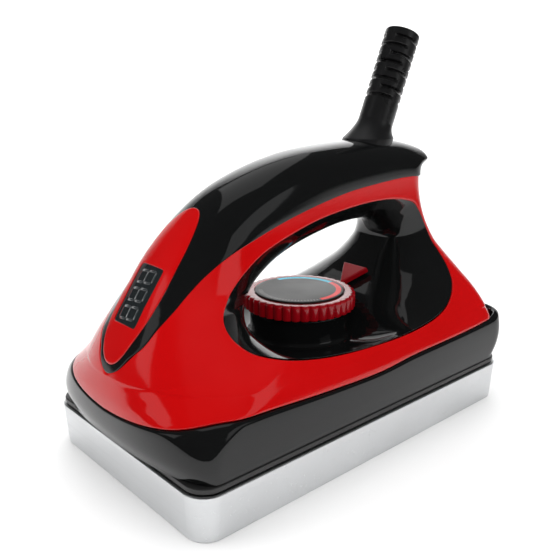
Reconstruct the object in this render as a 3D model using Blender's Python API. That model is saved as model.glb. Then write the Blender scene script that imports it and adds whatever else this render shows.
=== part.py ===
"""Waxing iron for skis and snowboards: a heated aluminium sole under a two-colour plastic body.

Frame: millimetres in this file, metres in the model. +X is the right-hand side, +Y the rear, +Z up.
The origin is the centre of the sole's underside, the face that rests on the ski.
"""
import math

import bmesh
import bpy
import numpy as np
from mathutils import Matrix, Vector

MM = 0.001
GAP = 0.3                       # air left between neighbouring solids

# Sole plate
SOLE_LENGTH = 164.0
SOLE_WIDTH = 95.0
SOLE_THICKNESS = 16.7
SOLE_CORNER = 9.0
SOLE_DRAFT = 1.0                # each side is this much shorter at the underside

# Heating element, a U of sheathed tube laid in a groove
ELEMENT_RADIUS = 4.0
ELEMENT_HALF_SPACING = 25.0     # also the radius of the bend at the nose
ELEMENT_BEND_Y = -38.0
ELEMENT_TURN_UP_Y = 50.0
ELEMENT_DEPTH = 12.4            # height of the tube's centre line
GROOVE_FLOOR = 8.0

# Plates stacked on the sole
CLAMP_HALF_WIDTH = 33.0
CLAMP_FRONT, CLAMP_REAR = -63.0, 44.0
CLAMP_THICKNESS = 1.2
FLANGE_THICKNESS = 2.0
FLANGE_INSET = 0.8
FLANGE_OPENING = (34.2, 66.0)   # half width, half length
SCREW_RADIUS = 1.9
SCREW_HOLE_RADIUS = 2.3
SCREW_HEAD_RADIUS = 3.6
BASE_SCREWS = [(-39, -66), (39, -66), (-39, 66), (39, 66)]
CLAMP_SCREWS = [(-12, -30), (12, -30), (-12, 30), (12, 30)]

# Body
WALL = 2.2
SKIRT_BOTTOM = 19.4
ROUNDING_POWER = 2.4            # superellipse that carries the sides over to the centre line
REAR_REACH = 12.0               # and at the rear
SEAM_GAP = 0.9                  # between the handle cover and the body shell
LINER_SET_BACK = 1.2            # the liner's edge lies this far inside the body's sides
# and this far inside the opening's edge, against the direction from the hand gap in degrees
LINER_INSET = [(-180, 1.1), (-30, 1.1), (-5, 1.5), (15, 2.4), (40, 2.4), (60, 1.1), (180, 1.1)]
LINER_EDGE = 0.35               # wall left at the liner's edge, as a share of the full wall
HOLE_CENTRE = (8.0, 62.0)       # y, z inside the hand gap

# Dial
DIAL_Y = 3.1
DIAL_RADIUS = 22.5
DIAL_BOTTOM, DIAL_TOP = 48.0, 54.0
DIAL_FLUTES = 38
TURRET_RADIUS = 20.0
TURRET_TOP = 47.6
SHAFT_RADIUS = 3.0

# Cord guard
GUARD_FOOT = (47.0, 112.2)      # y, z of the axis where it leaves the handle
GUARD_TILT = math.radians(19.2)
GUARD_LENGTH = 45.0
GUARD_RADIUS = 7.4
CORD_BORE_RADIUS = 3.7

# Centre line of the body in side view (y, z): up the nose, over the hand grip, to the tail
FRONT_LINE = [(-86.0, 30.0), (-85.9, 34.5), (-85.3, 38.5), (-84.3, 42.6)]
RIDGE_LINE = [(-84.3, 42.6), (-82.3, 48), (-79.5, 54), (-75.5, 60.5), (-69.5, 69.5), (-61.5, 80),
              (-50.5, 90.3), (-37, 99.2), (-21, 105.4), (-3, 109.5), (16, 111.3), (34, 111.8), (50, 111.2),
              (60, 109.6), (66.5, 107.4), (69, 103.6), (67.4, 99.8), (64.2, 97.8)]
COLUMN_LINE = [(63, 97), (63.2, 90), (65.5, 80), (70, 70), (75.5, 60), (80, 50), (83, 41), (84, 34), (84, 29)]

# Seam between the handle cover and the body shell, one point for each point of the ridge
COVER_SEAM = [(-84.0, 43.4), (-81.9, 47.8), (-78, 53.7), (-72.3, 60), (-64.7, 66.9), (-56, 74.1),
              (-45.6, 79.8), (-33, 84.1), (-18.5, 88.2), (-2, 91.9), (14, 94.6), (30, 96.0), (44, 96.8),
              (52.5, 96.8), (57, 96.7), (60, 96.7), (61.8, 96.8), (62.8, 97)]
# Where the seam closes round the nose it is given by its half width, against the station on the ridge
NOSE_SEAM = [(0, 0), (0.15, 0), (0.28, 2.5), (0.43, 4.2), (0.69, 6.3), (1.0, 7.9), (1.6, 10.6), (2.26, 13.2),
             (3.03, 15.1), (4, 16.2)]

# Body shell in side view: its edge along the seam, and the grip liner's edge beside each of those points
SHELL_SEAM = COVER_SEAM[:13] + [(57, 96.7), (63, 97)]
SEAM_LINER = [(-49.5, 50.8), (-53.1, 53.6), (-55.3, 57.2), (-55.3, 61.2), (-52.9, 65), (-48.2, 69.4),
              (-41, 74.3), (-31, 79.3), (-18, 83.3), (-3, 86.8), (14, 89), (29, 89.8), (42, 89), (51.5, 86.8),
              (55.3, 83.5)]
COLUMN_STATIONS = [((63, 97), (55.3, 83.5)), ((63.2, 90), (58, 79.2)), ((65.5, 80), (60.5, 72)),
                   ((70, 70), (62.3, 65)), ((75.5, 60), (62.7, 59.5)), ((80, 50), (61.2, 55)),
                   ((83, 41), (58, 51.8))]
# Along the foot the shell's upper part starts from a level line; the liner's edge beside it, rear to front
FOOT_LINER = [(58, 51.8), (54, 49), (48, 46.2), (40, 44.2), (30, 42.9), (17, 42.2), (2, 42.3), (-12, 43.2),
              (-24, 44.5), (-34, 46.2), (-42.5, 48.3), (-49.5, 50.8)]
FOOT_LEVEL = [(-90, 42.6), (-70, 41.8), (-58, 41), (-30, 40), (20, 39.4), (45, 39.8), (60, 41), (90, 41)]

# Throat of the hand gap on the centre plane
THROAT = [(-36, 56), (-27, 64.5), (-17, 70.3), (-7, 74), (4, 76.8), (15, 79), (27, 80), (37, 79.5),
          (45, 76.5), (48.5, 71), (47, 65.5), (43, 60.3), (38, 55.4), (33, 52), (28, 48.9), (23, 44.4),
          (18, 39.5), (11, 36.9), (0, 36.5), (-12, 36.5), (-22, 37.2), (-30, 40), (-34.5, 44.5), (-37, 50)]

# Half width of the body against height
WIDTHS = [(18, 46.5), (26, 46.5), (34, 45.5), (42, 42.6), (50, 37.4), (56, 32), (60, 28.7), (65, 24.8),
          (70, 21.5), (80, 18.6), (90, 17.2), (100, 16.6), (112, 16.5)]

# Length over which the side rounds into the centre line, against the direction from the hand gap in degrees
ROUNDING = [(-180, 31), (-176, 36), (-172, 43), (-168, 45), (-164, 42), (-158, 31), (-150, 19), (-90, 14),
            (-30, 12), (0, 11), (30, 11), (60, 13), (90, 14), (120, 15), (150, 15), (162, 17), (172, 22),
            (180, 31)]
# The same at the foot of the nose, against height: square at the skirt, round above it
NOSE_REACH = [(19, 18), (30, 18), (34, 22), (37, 30), (40, 38), (42.6, 42)]

# Height of the skirt's top edge against the plan direction, -90 degrees being the nose
SKIRT_TOP = [(-90, 30.7), (-84, 31.2), (-76, 32.3), (-68, 33.8), (-62, 35.2), (-58, 35.7), (-51, 35.1),
             (-32, 33.6), (0, 32.8), (25, 33.9), (45, 34.4), (54, 35.0), (59, 35.8), (64, 38.2), (77, 38.2),
             (90, 38.0)]
SHELL_FOOT = [(-90, 32.1), (-84, 32.7), (-76, 34.0), (-68, 35.5), (-62, 36.9), (-58, 37.3), (-51, 36.6),
              (-32, 34.9), (0, 34.0), (25, 35.1), (45, 35.6), (54, 36.2), (58.5, 36.9), (62, 37.1),
              (64.5, 36), (68, 31), (73, 29), (90, 29)]
SKIRT_FRONT = [(19.4, -84.2), (24, -85.6), (30, -86.0), (36, -85.8), (42.6, -84.3)]
REAR_WALL = [(18, 84), (34, 84), (41, 83), (50, 80)]
SKIRT_REAR = [(19.4, 81.6), (21.5, 83.4), (25, 85.8), (30, 87.6), (38.5, 88.4)]


def remove_everything():
    for obj in list(bpy.data.objects):
        bpy.data.objects.remove(obj, do_unlink=True)


def make_material(name, color, roughness, metallic=0.0):
    material = bpy.data.materials.new(name)
    material.use_nodes = True
    shader = material.node_tree.nodes["Principled BSDF"]
    shader.inputs["Base Color"].default_value = (*color, 1.0)
    shader.inputs["Roughness"].default_value = roughness
    shader.inputs["Metallic"].default_value = metallic
    return material


def spline_at(points, stations, closed=False):
    """Catmull-Rom curve through points, read at real-valued station numbers."""
    points = np.asarray(points, float)
    count = len(points)
    index = np.floor(stations).astype(int)
    if not closed:
        index = np.clip(index, 0, count - 2)
    fraction = (np.asarray(stations) - index)[:, None]
    if closed:
        a, b, c, d = (points[(index + shift) % count] for shift in (-1, 0, 1, 2))
    else:
        padded = np.vstack([2 * points[0] - points[1], points, 2 * points[-1] - points[-2]])
        a, b, c, d = (padded[index + shift] for shift in range(4))
    return 0.5 * (2 * b + (c - a) * fraction + (2 * a - 5 * b + 4 * c - d) * fraction ** 2
                  + (3 * b - a - 3 * c + d) * fraction ** 3)


def smooth_line(points, steps=12):
    return spline_at(points, np.linspace(0, len(points) - 1, (len(points) - 1) * steps + 1))


def read_curve(points, where):
    line = smooth_line(points)
    return np.interp(where, line[:, 0], line[:, 1])


def half_width(side_points, outline):
    """Half width of the body at side-view points: W(z) times a superellipse of the depth inside it."""
    points = np.asarray(side_points, float)
    flat = points.reshape(-1, 2)
    start, end = outline[:-1], outline[1:]
    span = end - start
    along = ((flat[:, None] - start) * span).sum(-1) / (span ** 2).sum(-1)
    nearest = start + span * np.clip(along, 0, 1)[..., None]
    depth = np.linalg.norm(flat[:, None] - nearest, axis=-1).min(1)
    direction = np.degrees(np.arctan2(flat[:, 1] - HOLE_CENTRE[1], flat[:, 0] - HOLE_CENTRE[0]))
    reach = read_curve(ROUNDING, direction)
    inward = 1 - np.clip(depth / reach, 0, 1)
    width = read_curve(WIDTHS, flat[:, 1]) * (1 - inward ** ROUNDING_POWER) ** (1 / ROUNDING_POWER)
    return width.reshape(points.shape[:-1])


def cover_outline():
    return smooth_line(RIDGE_LINE)


def seam_line(points, places):
    """Seam in side view at real-valued stations, and its half width where it closes round the nose."""
    places = np.asarray(places, float)
    ridge = spline_at(RIDGE_LINE, places)
    ahead = spline_at(RIDGE_LINE, places + 0.01) - ridge
    ahead /= np.linalg.norm(ahead, axis=1, keepdims=True)
    inward = np.stack([ahead[:, 1], -ahead[:, 0]], -1)
    x = read_curve(NOSE_SEAM, places)
    direction = np.degrees(np.arctan2(ridge[:, 1] - HOLE_CENTRE[1], ridge[:, 0] - HOLE_CENTRE[0]))
    share = np.clip(x / read_curve(WIDTHS, ridge[:, 1]), 0, 0.95)
    depth = read_curve(ROUNDING, direction) * (1 - (1 - share ** ROUNDING_POWER) ** (1 / ROUNDING_POWER))
    blend = np.clip(places - 2, 0, 1)
    blend = (blend * blend * (3 - 2 * blend))[:, None]
    line = (ridge + inward * depth[:, None]) * (1 - blend) + spline_at(points, places) * blend
    return line, np.where(places < 2, x, np.nan)


def body_outline():
    """As the cover's, but running straight up at the rear where the cover's tail overhangs."""
    top = RIDGE_LINE[:-5] + [(60, 109.6), (63.5, 103)]
    return np.vstack([smooth_line(FRONT_LINE), smooth_line(top)[1:], smooth_line(COLUMN_LINE)])


def mesh_object(name, vertices, faces, material, parent=None):
    """New mesh object from vertices in millimetres."""
    mesh = bpy.data.meshes.new(name)
    mesh.from_pydata((np.asarray(vertices, float) * MM).tolist(), [], [list(face) for face in faces])
    mesh.validate()
    obj = bpy.data.objects.new(name, mesh)
    bpy.context.scene.collection.objects.link(obj)
    if material:
        mesh.materials.append(material)
    if parent:
        obj.parent = parent
    return obj


def grid_faces(rows, columns, wrap_rows=False, wrap_columns=False, offset=0, flip=False):
    faces = []
    for row in range(rows if wrap_rows else rows - 1):
        for column in range(columns if wrap_columns else columns - 1):
            next_row, next_column = (row + 1) % rows, (column + 1) % columns
            face = [row * columns + column, next_row * columns + column,
                    next_row * columns + next_column, row * columns + next_column]
            faces.append([index + offset for index in (face[::-1] if flip else face)])
    return faces


def shade_round(obj, angle=35.0):
    obj.data.shade_smooth()
    obj.data.set_sharp_from_angle(angle=math.radians(angle))


def add_boolean(obj, cutter, operation="DIFFERENCE"):
    modifier = obj.modifiers.new(operation.title(), "BOOLEAN")
    modifier.operation = operation
    modifier.object = cutter
    modifier.solver = "EXACT"
    cutter.hide_render = True
    cutter.display_type = "WIRE"


def add_solidify(obj, thickness):
    modifier = obj.modifiers.new("Wall", "SOLIDIFY")
    modifier.thickness = thickness * MM
    modifier.offset = -1


def prism(name, outline, low, high, material=None, frame=None):
    """Closed prism over a counter-clockwise outline (u, v), from w = low to w = high in the given frame."""
    count = len(outline)
    vertices = [(u, v, w) for w in (low, high) for u, v in outline]
    faces = [list(range(count))[::-1], list(range(count, 2 * count))]
    faces += [[i, (i + 1) % count, count + (i + 1) % count, count + i] for i in range(count)]
    if frame is not None:
        vertices = [frame @ Vector(vertex) for vertex in vertices]
    return mesh_object(name, [tuple(vertex) for vertex in vertices], faces, material)


def rectangle(half_u, half_v, radius=0.0, steps=4):
    if radius == 0:
        return [(-half_u, -half_v), (half_u, -half_v), (half_u, half_v), (-half_u, half_v)]
    corners = [(1, -1, -90), (1, 1, 0), (-1, 1, 90), (-1, -1, 180)]
    outline = []
    for side_u, side_v, start in corners:
        for step in range(steps + 1):
            angle = math.radians(start + 90 * step / steps)
            outline.append((side_u * (half_u - radius) + radius * math.cos(angle),
                            side_v * (half_v - radius) + radius * math.sin(angle)))
    return outline


def circle(radius, sides, centre=(0.0, 0.0)):
    return [(centre[0] + radius * math.cos(2 * math.pi * i / sides),
             centre[1] + radius * math.sin(2 * math.pi * i / sides)) for i in range(sides)]


def turned(name, profile, sides, material, centre=(0.0, 0.0)):
    """Solid of revolution about a vertical axis; profile is a closed loop of (radius, z), anticlockwise."""
    rings = []
    vertices = []
    for radius, height in profile:
        if radius == 0:
            rings.append([len(vertices)] * sides)
            vertices.append((*centre, height))
            continue
        rings.append(list(range(len(vertices), len(vertices) + sides)))
        vertices += [(x, y, height) for x, y in circle(radius, sides, centre)]
    faces = []
    for lower, upper in zip(rings, rings[1:] + rings[:1]):
        for i in range(sides):
            face = [lower[i], lower[(i + 1) % sides], upper[(i + 1) % sides], upper[i]]
            face = list(dict.fromkeys(face))
            if len(face) > 2:
                faces.append(face)
    return mesh_object(name, vertices, faces, material)


def slab(name, x, y, z, material, frame=None):
    """Box between the given (low, high) limits."""
    outline = [(x[0], y[0]), (x[1], y[0]), (x[1], y[1]), (x[0], y[1])]
    return prism(name, outline, z[0], z[1], material, frame)


def tube_through(name, points, radius, material, sides_resolution=2):
    """Round wire along a polyline, with closed ends."""
    curve = bpy.data.curves.new(name, "CURVE")
    curve.dimensions = "3D"
    curve.bevel_depth = radius * MM
    curve.bevel_resolution = sides_resolution
    curve.use_fill_caps = True
    spline = curve.splines.new("POLY")
    spline.points.add(len(points) - 1)
    for point, place in zip(spline.points, points):
        point.co = (place[0] * MM, place[1] * MM, place[2] * MM, 1)
    if material:
        curve.materials.append(material)
    obj = bpy.data.objects.new(name, curve)
    bpy.context.scene.collection.objects.link(obj)
    return obj


def screw(name, place, under_head, length, material):
    """Pan-head screw pointing down: a shank and a low head in one piece."""
    head = 2.4
    profile = [(0, under_head - length), (SCREW_RADIUS, under_head - length + 0.6),
               (SCREW_RADIUS, under_head), (SCREW_HEAD_RADIUS, under_head),
               (SCREW_HEAD_RADIUS, under_head + head - 0.6), (SCREW_HEAD_RADIUS - 0.8, under_head + head),
               (0, under_head + head)]
    return turned(name, profile, 12, material, place)


def element_path():
    """Centre line of the U tube: up at both rear ends, a half circle at the nose."""
    bend = 7.0
    top = 27.0
    points = [(ELEMENT_HALF_SPACING, ELEMENT_TURN_UP_Y + bend, top)]
    for step in range(5):
        angle = math.radians(90 * step / 4)
        points.append((ELEMENT_HALF_SPACING, ELEMENT_TURN_UP_Y + bend * math.cos(angle),
                       ELEMENT_DEPTH + bend - bend * math.sin(angle)))
    for step in range(17):
        angle = math.radians(180 * step / 16)
        points.append((ELEMENT_HALF_SPACING * math.cos(angle),
                       ELEMENT_BEND_Y - ELEMENT_HALF_SPACING * math.sin(angle), ELEMENT_DEPTH))
    points += [(-x, y, z) for x, y, z in points[:6]][::-1]
    return points


def groove_outline():
    """Plan of the groove: a U that is 0.5 mm wider than the tube on each side."""
    half = ELEMENT_RADIUS + 0.5
    rear = ELEMENT_TURN_UP_Y + 12.5
    outer = [(ELEMENT_HALF_SPACING + half, rear)]
    inner = [(ELEMENT_HALF_SPACING - half, rear)]
    for step in range(17):
        angle = math.radians(180 * step / 16)
        for line, radius in ((outer, ELEMENT_HALF_SPACING + half), (inner, ELEMENT_HALF_SPACING - half)):
            line.append((radius * math.cos(angle), ELEMENT_BEND_Y - radius * math.sin(angle)))
    outer.append((-ELEMENT_HALF_SPACING - half, rear))
    inner.append((-ELEMENT_HALF_SPACING + half, rear))
    return (outer + inner[::-1])[::-1]


def build_sole(metal):
    """Plate with rounded corners, drafted sides, a softened top edge, the groove and blind screw holes."""
    levels = [(0.0, SOLE_DRAFT + 0.4), (0.4, SOLE_DRAFT), (SOLE_THICKNESS - 0.5, 0.0), (SOLE_THICKNESS, 0.5)]
    rings = [rectangle(SOLE_WIDTH / 2 - inset, SOLE_LENGTH / 2 - inset, SOLE_CORNER - inset, 8) for _,
             inset in levels]
    count = len(rings[0])
    vertices = [(x, y, level[0]) for level, ring in zip(levels, rings) for x, y in ring]
    faces = [[row * count + i, row * count + (i + 1) % count, (row + 1) * count + (i + 1) % count,
              (row + 1) * count + i]
             for row in range(len(levels) - 1) for i in range(count)]
    faces += [list(range(count))[::-1], list(range((len(levels) - 1) * count, len(levels) * count))]
    sole = mesh_object("sole_plate", vertices, faces, metal)
    shade_round(sole)
    above = SOLE_THICKNESS + 4
    add_boolean(sole, prism("groove_cutter", groove_outline(), GROOVE_FLOOR, above))
    for number, place in enumerate(BASE_SCREWS + CLAMP_SCREWS):
        add_boolean(sole, prism(f"sole_hole_cutter_{number}", circle(SCREW_HOLE_RADIUS, 12, place), 7.5,
                                above))
    add_boolean(sole, prism("sensor_pocket_cutter", circle(2.9, 12, (0, 8)), 10.0, above))
    return sole


def build_heating(metal, steel, mineral, ceramic):
    tube_through("heating_element", element_path(), ELEMENT_RADIUS, metal)
    low = SOLE_THICKNESS + GAP
    clamp = slab("element_clamp_plate", (-CLAMP_HALF_WIDTH, CLAMP_HALF_WIDTH), (CLAMP_FRONT, CLAMP_REAR),
                 (low, low + CLAMP_THICKNESS), steel)
    for number, place in enumerate(CLAMP_SCREWS):
        add_boolean(clamp, prism(f"clamp_hole_cutter_{number}", circle(SCREW_HOLE_RADIUS, 12, place), low - 2,
                                 low + 4))
        screw(f"clamp_screw_{number + 1}", place, low + CLAMP_THICKNESS + GAP, 10.0, steel)
    add_boolean(clamp, prism("clamp_sensor_cutter", circle(2.9, 12, (0, 8)), low - 2, low + 4))
    turned("temperature_sensor", [(0, 10.6), (2.5, 10.6), (2.5, 18.8), (1.4, 20.4), (0, 20.4)], 12, ceramic,
           (0, 8))
    slab("heat_shield", (-31, 31), (-60, 42), (21.6, 22.4), steel)
    slab("insulation_sheet", (-31, 31), (-60, 42), (22.7, 23.7), mineral)
    fuse = turned("thermal_fuse", [(0, 0), (1.0, 0.6), (2.0, 0.6), (2.0, 10.4), (1.0, 10.4), (0, 11)], 12,
                  metal)
    fuse.location = (10 * MM, 49 * MM, 21.4 * MM)
    fuse.rotation_euler = (0, math.radians(-90), 0)


def build_flange(plastic):
    """Thin heat-proof frame between the sole and the plastic skirt."""
    low = SOLE_THICKNESS + GAP
    outline = rectangle(SOLE_WIDTH / 2 - FLANGE_INSET, SOLE_LENGTH / 2 - FLANGE_INSET, SOLE_CORNER, 6)
    flange = prism("base_flange", outline, low, low + FLANGE_THICKNESS, plastic)
    add_boolean(flange, prism("flange_opening_cutter", rectangle(*FLANGE_OPENING, 6, 3), low - 1, low + 4))
    for number, place in enumerate(BASE_SCREWS):
        add_boolean(flange, prism(f"flange_hole_cutter_{number}", circle(SCREW_HOLE_RADIUS, 12, place),
                                  low - 1, low + 4))
    return flange


def build_base_screws(steel):
    for number, place in enumerate(BASE_SCREWS):
        screw(f"base_screw_{number + 1}", place, SOLE_THICKNESS + FLANGE_THICKNESS + 2 * GAP, 10.5, steel)


def foot_station(position, levels, share, rear_line, inset, rear_power):
    """Point of a plan loop round the foot; position is 0 at the nose, 1 to 2 along the side, 3 at the rear.

    The height depends on the plan direction and the plan outline on the height, so both are settled in turns.
    """
    height = 36.0
    for _ in range(4):
        front = read_curve(SKIRT_FRONT, height) + inset
        rear = read_curve(rear_line, height) - inset
        width = read_curve(WIDTHS, height) - inset
        nose_reach = read_curve(NOSE_REACH, height)
        straight = (front + nose_reach, rear - REAR_REACH)
        if position <= 1:
            depth = 1 - math.cos(position * math.pi / 2)
            y = front + nose_reach * depth
            x = width * (1 - (1 - depth) ** ROUNDING_POWER) ** (1 / ROUNDING_POWER)
        elif position < 2:
            y, x = straight[0] + (straight[1] - straight[0]) * (position - 1), width
        else:
            depth = 1 - math.cos((3 - position) * math.pi / 2)
            y, x = rear - REAR_REACH * depth, width * (1 - (1 - depth) ** rear_power) ** (1 / rear_power)
        low, high = (read_curve(level, math.degrees(math.atan2(y, x))) for level in levels)
        height = low + share * (high - low)
    return x, y, height


def foot_positions(cap_steps, side_steps):
    return np.concatenate([np.linspace(0, 1, cap_steps + 1), np.linspace(1, 2, side_steps + 1)[1:],
                           np.linspace(2, 3, cap_steps + 1)[1:]])


def build_skirt(plastic):
    """Black lower shell: follows the body at nose and sides, and stands off as a raised lip at the rear."""
    bottom = [(-90, SKIRT_BOTTOM), (90, SKIRT_BOTTOM)]
    walls = []
    for inset in (0.0, WALL - 0.3):
        half = np.array([[foot_station(position, (bottom, SKIRT_TOP), share, SKIRT_REAR, inset, 3.6)
                          for share in np.linspace(0, 1, 4)] for position in foot_positions(6, 8)])
        other = half[-2:0:-1] * (-1, 1, 1)
        walls.append(np.concatenate([half, other]))
    return wrapped_shell("base_skirt", *walls, plastic)


def wrapped_shell(name, outer, inner, material):
    """Closed shell between two grids whose rows run round a loop; the two edge columns are bridged."""
    rows, columns = outer.shape[:2]
    vertices = np.vstack([outer.reshape(-1, 3), inner.reshape(-1, 3)])
    count = rows * columns
    faces = grid_faces(rows, columns, wrap_rows=True) + grid_faces(rows, columns, wrap_rows=True,
                                                                   offset=count, flip=True)
    for row in range(rows):
        here, there = row * columns, (row + 1) % rows * columns
        last = columns - 1
        faces.append([there, here, here + count, there + count])
        faces.append([here + last, there + last, there + last + count, here + last + count])
    obj = mesh_object(name, vertices, faces, material)
    make_outward(obj)
    shade_round(obj)
    return obj


def make_outward(obj):
    shape = bmesh.new()
    shape.from_mesh(obj.data)
    bmesh.ops.recalc_face_normals(shape, faces=shape.faces)
    if shape.calc_volume(signed=True) < 0:
        bmesh.ops.reverse_faces(shape, faces=shape.faces)
    shape.to_mesh(obj.data)
    shape.free()


def liner_edge_points():
    """Closed loop of the liner's edge in side view: over the top, down the rear, forwards at the foot."""
    return SEAM_LINER[:-1] + [inner for _, inner in COLUMN_STATIONS[:-1]] + FOOT_LINER[:-1]


def opening_places():
    """Stations of the shell's rows along the seam and the column, and of every row on the liner's edge."""
    seam = np.arange(0, len(SHELL_SEAM) - 1, 0.5)
    column = np.arange(0, len(COLUMN_STATIONS) - 1, 1.0)
    foot_rows = len(foot_positions(6, 8)) - 1
    foot = np.arange(foot_rows) * (len(FOOT_LINER) - 1) / foot_rows
    first_column = len(SHELL_SEAM) - 1
    first_foot = first_column + len(COLUMN_STATIONS) - 1
    return seam, column, np.concatenate([seam, column + first_column, foot + first_foot])


def build_body_shell(plastic):
    """Red shell: two flanks joined down the nose and down the rear column. One half is mirrored."""
    outline = body_outline()
    edge_points = liner_edge_points()
    across = np.linspace(0, 1, 7) ** 2
    positions = foot_positions(6, 8)
    foot = np.array([[foot_station(position, (SHELL_FOOT, FOOT_LEVEL), share, REAR_WALL, 0.0, ROUNDING_POWER)
                      for share in (0, 0.5, 1)] for position in positions])
    foot[[0, -1], :, 0] = 0.0
    seam_places, column_places, places = opening_places()
    seam, seam_width = seam_line(SHELL_SEAM, seam_places)
    column = spline_at([edge for edge, _ in COLUMN_STATIONS], column_places)
    level = foot[::-1, -1][:-1]
    outer = np.vstack([seam, column, level[:, 1:]])
    inner = spline_at(edge_points, places, closed=True)
    above_foot = np.arange(len(outer))[:, None] < len(seam) + len(column)
    shares = np.where(above_foot, across, np.linspace(0, 1, len(across)))
    side = outer[:, None] + (inner - outer)[:, None] * shares[..., None]
    width = half_width(side, outline)
    known = np.concatenate([seam_width, np.zeros(len(column)), level[:, 0]])
    difference = np.where(np.isnan(known), 0, known - width[:, 0])
    width += difference[:, None] * (1 - shares) ** 6
    upper = np.concatenate([width[..., None], side], -1)
    count = upper.shape[0] * upper.shape[1]
    vertices = np.vstack([upper.reshape(-1, 3), foot.reshape(-1, 3)])
    faces = grid_faces(*upper.shape[:2], wrap_rows=True) + grid_faces(*foot.shape[:2], offset=count,
                                                                      flip=True)
    shell = mesh_object("body_shell", vertices, faces, plastic)
    weld_and_face_right(shell)
    mirror = shell.modifiers.new("Mirror", "MIRROR")
    mirror.merge_threshold = 0.00005
    add_solidify(shell, WALL)
    return shell


def weld_and_face_right(obj):
    """Join coincident points of a half shell and turn its faces towards +X."""
    shape = bmesh.new()
    shape.from_mesh(obj.data)
    bmesh.ops.remove_doubles(shape, verts=shape.verts, dist=0.00003)
    bmesh.ops.recalc_face_normals(shape, faces=shape.faces)
    if sum(face.normal.x * face.calc_area() for face in shape.faces) < 0:
        bmesh.ops.reverse_faces(shape, faces=shape.faces)
    shape.to_mesh(obj.data)
    shape.free()


def cover_grid(first, last, steps, across_steps, seam_gap):
    """Strip over the ridge between the two cover seams, from one ridge station to another."""
    places = np.linspace(first, last, steps)
    ridge = spline_at(RIDGE_LINE, places)
    seam, seam_width = seam_line(COVER_SEAM, places)
    inward = ridge - seam
    length = np.linalg.norm(inward, axis=1, keepdims=True)
    seam = seam + inward / length * np.minimum(seam_gap, length / 3)
    across = np.linspace(-1, 1, 2 * across_steps + 1)
    share = np.abs(across) ** 2
    side = ridge[:, None] + (seam - ridge)[:, None] * share[None, :, None]
    width = half_width(side, cover_outline()) * np.sign(across)
    width[:, across_steps] = 0.0
    return np.concatenate([width[..., None], side], -1)


def fascia_frame():
    """Frame of the oval panel: u across, v up the nose, w outwards."""
    up = Vector((0, 0.6145, 0.789)).normalized()
    return local_frame(Vector((0, -64.7, 70.0)), up)


def window_frame():
    up = Vector((0, 12.4, 17.9)).normalized()
    return local_frame(Vector((0, -70.4, 67.9)), up)


def local_frame(origin, up):
    outward = Vector((1, 0, 0)).cross(up)
    frame = Matrix((Vector((1, 0, 0)), up, outward)).transposed().to_4x4()
    frame.translation = origin
    return frame


def oval(half_u, half_v, power, sides):
    outline = []
    for step in range(sides):
        angle = 2 * math.pi * step / sides
        u, v = math.cos(angle), math.sin(angle)
        outline.append((math.copysign(abs(u) ** (2 / power), u) * half_u,
                        math.copysign(abs(v) ** (2 / power), v) * half_v))
    return outline


def build_handle(black, red, smoked):
    """Handle cover with its openings, and the oval panel and display pane that fill the front one."""
    grid = cover_grid(0.32, len(RIDGE_LINE) - 1.7, 26, 4, SEAM_GAP)
    cover = mesh_object("handle_cover", grid.reshape(-1, 3), grid_faces(*grid.shape[:2], flip=True), black)
    add_solidify(cover, WALL)
    add_boolean(cover, prism("fascia_hole_cutter", oval(10.8, 29.8, 2.3, 32), -8, 8, None, fascia_frame()))
    add_boolean(cover, prism("guard_hole_cutter", circle(8.2, 20, (0, GUARD_FOOT[0])), 100, 120))
    panel_grid = cover_grid(0.35, 7.6, 13, 4, SEAM_GAP)
    panel = mesh_object("display_fascia", panel_grid.reshape(-1, 3),
                        grid_faces(*panel_grid.shape[:2], flip=True), red)
    add_solidify(panel, WALL)
    add_boolean(panel, prism("fascia_cutter", oval(10.5, 29.5, 2.3, 32), -7, 7, None, fascia_frame()),
                "INTERSECT")
    add_boolean(panel, slab("window_cutter", (-7.2, 7.2), (-11.2, 11.2), (-7, 5), None, window_frame()))
    prism("display_window", rectangle(6.85, 10.85, 0.6, 3), -1.9, -0.3, smoked, window_frame())
    return cover


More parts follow.
